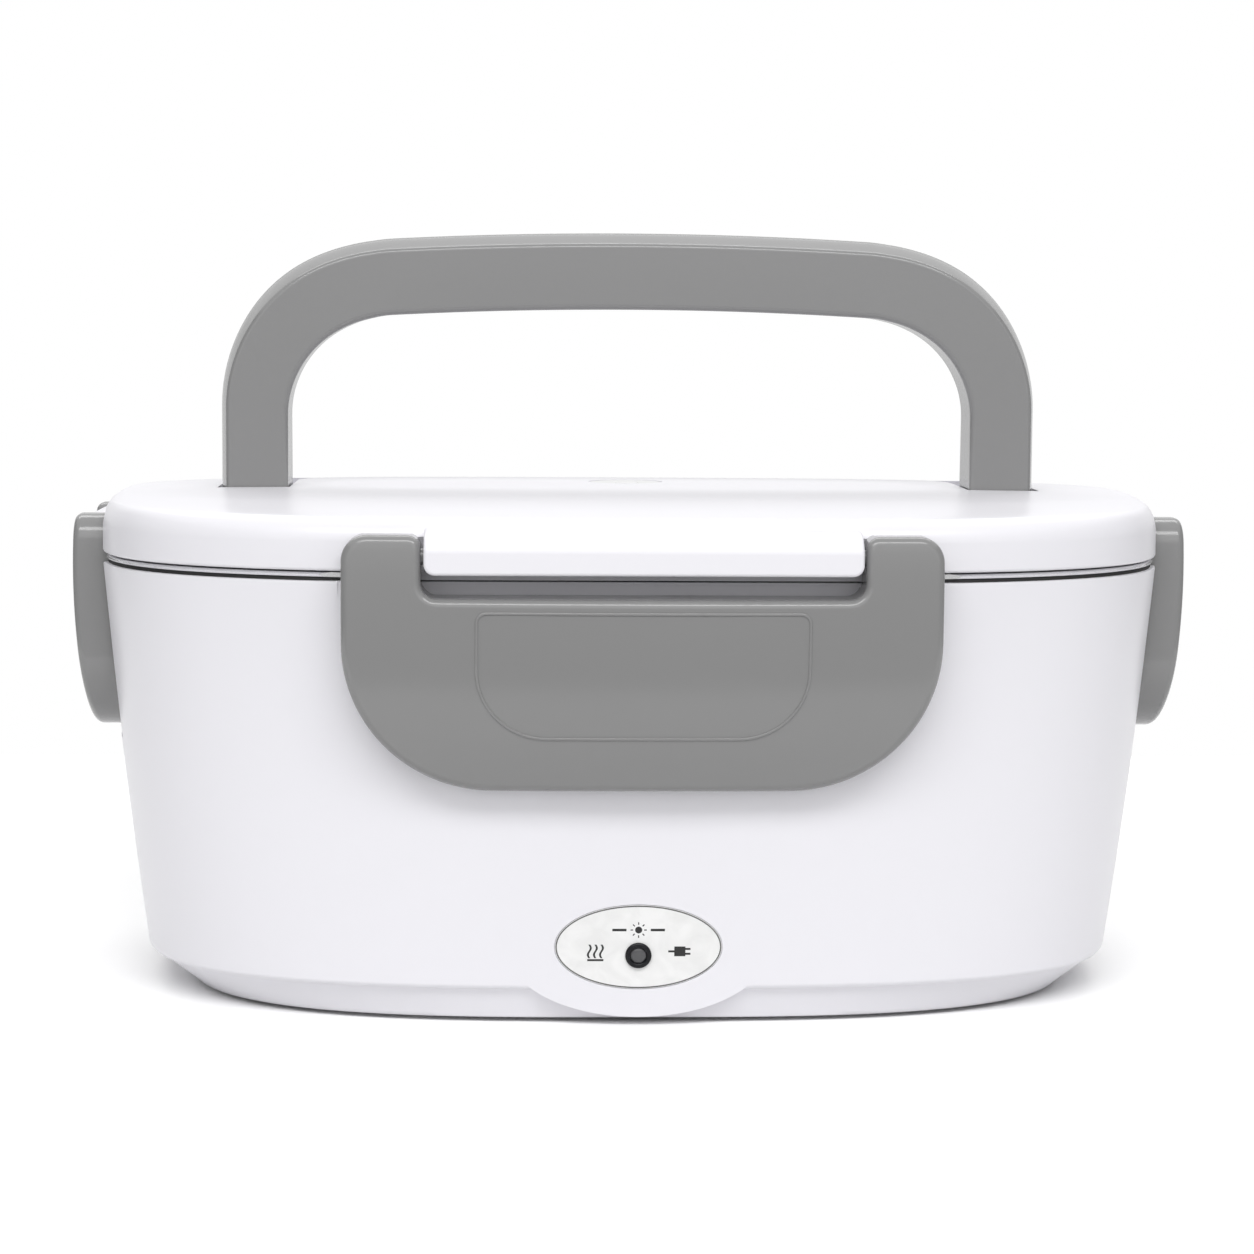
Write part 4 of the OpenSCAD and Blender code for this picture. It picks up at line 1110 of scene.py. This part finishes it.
ac = stadium_prism("ac_moulding", *AC_LIP, 0, SOCKET_LIP)
round_edges(ac, 0.0006, 3, lambda middle, edge: min(v.co.z for v in edge.verts) > SOCKET_LIP - 0.0001)
combine(ac, stadium_prism("ac_neck", *AC_NECK, -0.015, 0.0004), "UNION")
combine(ac, stadium_prism("ac_recess", *AC_RECESS, -0.012, 0.01), "DIFFERENCE")
ac.data.transform(front_plane(SOCKET_Z, AC_X, back=True))
even_shading(ac)
finish_piece(ac, "base", socket_black, "socket_black", "ac_inlet")

dc = turned("dc_moulding", [
    (DC_NECK_RADIUS, -0.014), (DC_NECK_RADIUS, 0), (0.0065, 0), (0.0065, 0.0009), (0.0063, 0.0012),
    (0.0060, SOCKET_LIP), (0.0036, SOCKET_LIP), (0.0034, 0.0013), (0.00325, 0.0011), (0.00325, -0.011),
])
dc.data.transform(front_plane(SOCKET_Z, DC_X, back=True))
even_shading(dc)
finish_piece(dc, "base", socket_black, "socket_black", "dc_inlet")

# ---- Screws and feet ---------------------------------------------------------
# Plated cross-head screws in the base cover and the liner, and four turned rubber
# feet pushed into the cover.
screw_steel = drawn_steel("screw_steel", 0.55, 0.3, (6, 6, 6))
foot_rubber = soft_rubber("foot_rubber", 0.035, 0.7)


def cross_head_screws(name, radius, depth, shank, length, low, places):
    """Screws driven upwards, heads down: rounded heads with a cross cut into each."""
    made = []
    for across, along in places:
        screw = turned("screw", [
            (radius - 0.0004, 0), (radius - 0.0001, 0.0001), (radius, 0.0003), (radius, depth),
            (shank, depth), (shank, length),
        ], 48)
        for turn in (0, math.pi / 2):
            arm = block("arm", (-radius * 0.62, -0.0003, -0.001), (radius * 0.62, 0.0003, depth * 0.7))
            combine(screw, turn_about_z(arm, turn + 0.4), "DIFFERENCE")
        screw.data.transform(Matrix.Translation((across, along, low)))
        made.append(screw)
    screws = join_all(name, made)
    even_shading(screws)
    return screws


def four_places(across, along):
    """The four places this far to either side of the middle, both ways."""
    return [(i * across, j * along) for i in (-1, 1) for j in (-1, 1)]


cover_screws = cross_head_screws("cover_screws", radius=0.0031, depth=0.0007, shank=0.0015,
                                 length=0.010, low=0.0012, places=four_places(0.074, 0.030))
finish_piece(cover_screws, "base", screw_steel, "screw_steel", "base_screws")
tray_screws = cross_head_screws("tray_screws", radius=0.0022, depth=0.0008, shank=0.0012,
                                length=0.006, low=0.0916, places=four_places(POST_X, POST_Y))
finish_piece(tray_screws, "lid", screw_steel, "screw_steel", "liner_screws")

feet = []
for across, along in four_places(0.052, 0.043):
    foot = turned("foot", [
        (0.0040, 0.0004), (0.0045, 0.0), (0.0066, 0.0), (0.0070, 0.0003), (0.0070, 0.0009),
        (0.0069, 0.0010), (0.00245, 0.0010), (0.00245, 0.003), (0.0032, 0.003), (0.0032, 0.0037),
        (0.0028, 0.004),
    ])
    foot.data.transform(Matrix.Translation((across, along, 0)))
    feet.append(foot)
feet = join_all("feet", feet)
even_shading(feet)
finish_piece(feet, "base", foot_rubber, "foot_rubber", "rubber_feet")

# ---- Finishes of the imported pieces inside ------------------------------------
# The tub, the heater and its parts, the wiring, the pins and the cover keep their
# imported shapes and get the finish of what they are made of.
contact_brass = drawn_steel("contact_brass", 0.5, 0.3, (4, 4, 4))
brass_shader = contact_brass.node_tree.nodes["Principled BSDF"]
brass_shader.inputs["Base Color"].default_value = (0.72, 0.56, 0.26, 1)
inside_finishes = {
    "base_cover": body_white,
    "heating_tub": tub_white,
    "heater_plate": drawn_steel("heater_aluminium", 0.7, 0.4, (1, 8, 1)),
    "heater_elements": moulded_plastic("element_dark", (0.05, 0.05, 0.05), 0.6),
    "heater_straps": screw_steel,
    "strap_screws": screw_steel,
    "thermostat": contact_brass,
    "thermal_fuse": moulded_plastic("fuse_ceramic", (0.72, 0.71, 0.68), 0.6, mottle=0.04),
    "wiring": moulded_plastic("wire_cover", (0.04, 0.04, 0.045), 0.45),
    "lamp_board": moulded_plastic("board_green", (0.02, 0.12, 0.05), 0.35, mottle=0.06),
    "lamp_led": moulded_plastic("lamp_red", (0.42, 0.03, 0.02), 0.12),
    "ac_pins": contact_brass,
    "dc_pin": contact_brass,
    "handle_pins": screw_steel,
}
for node, material in inside_finishes.items():
    for material_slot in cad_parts[node].material_slots:
        material_slot.material = material
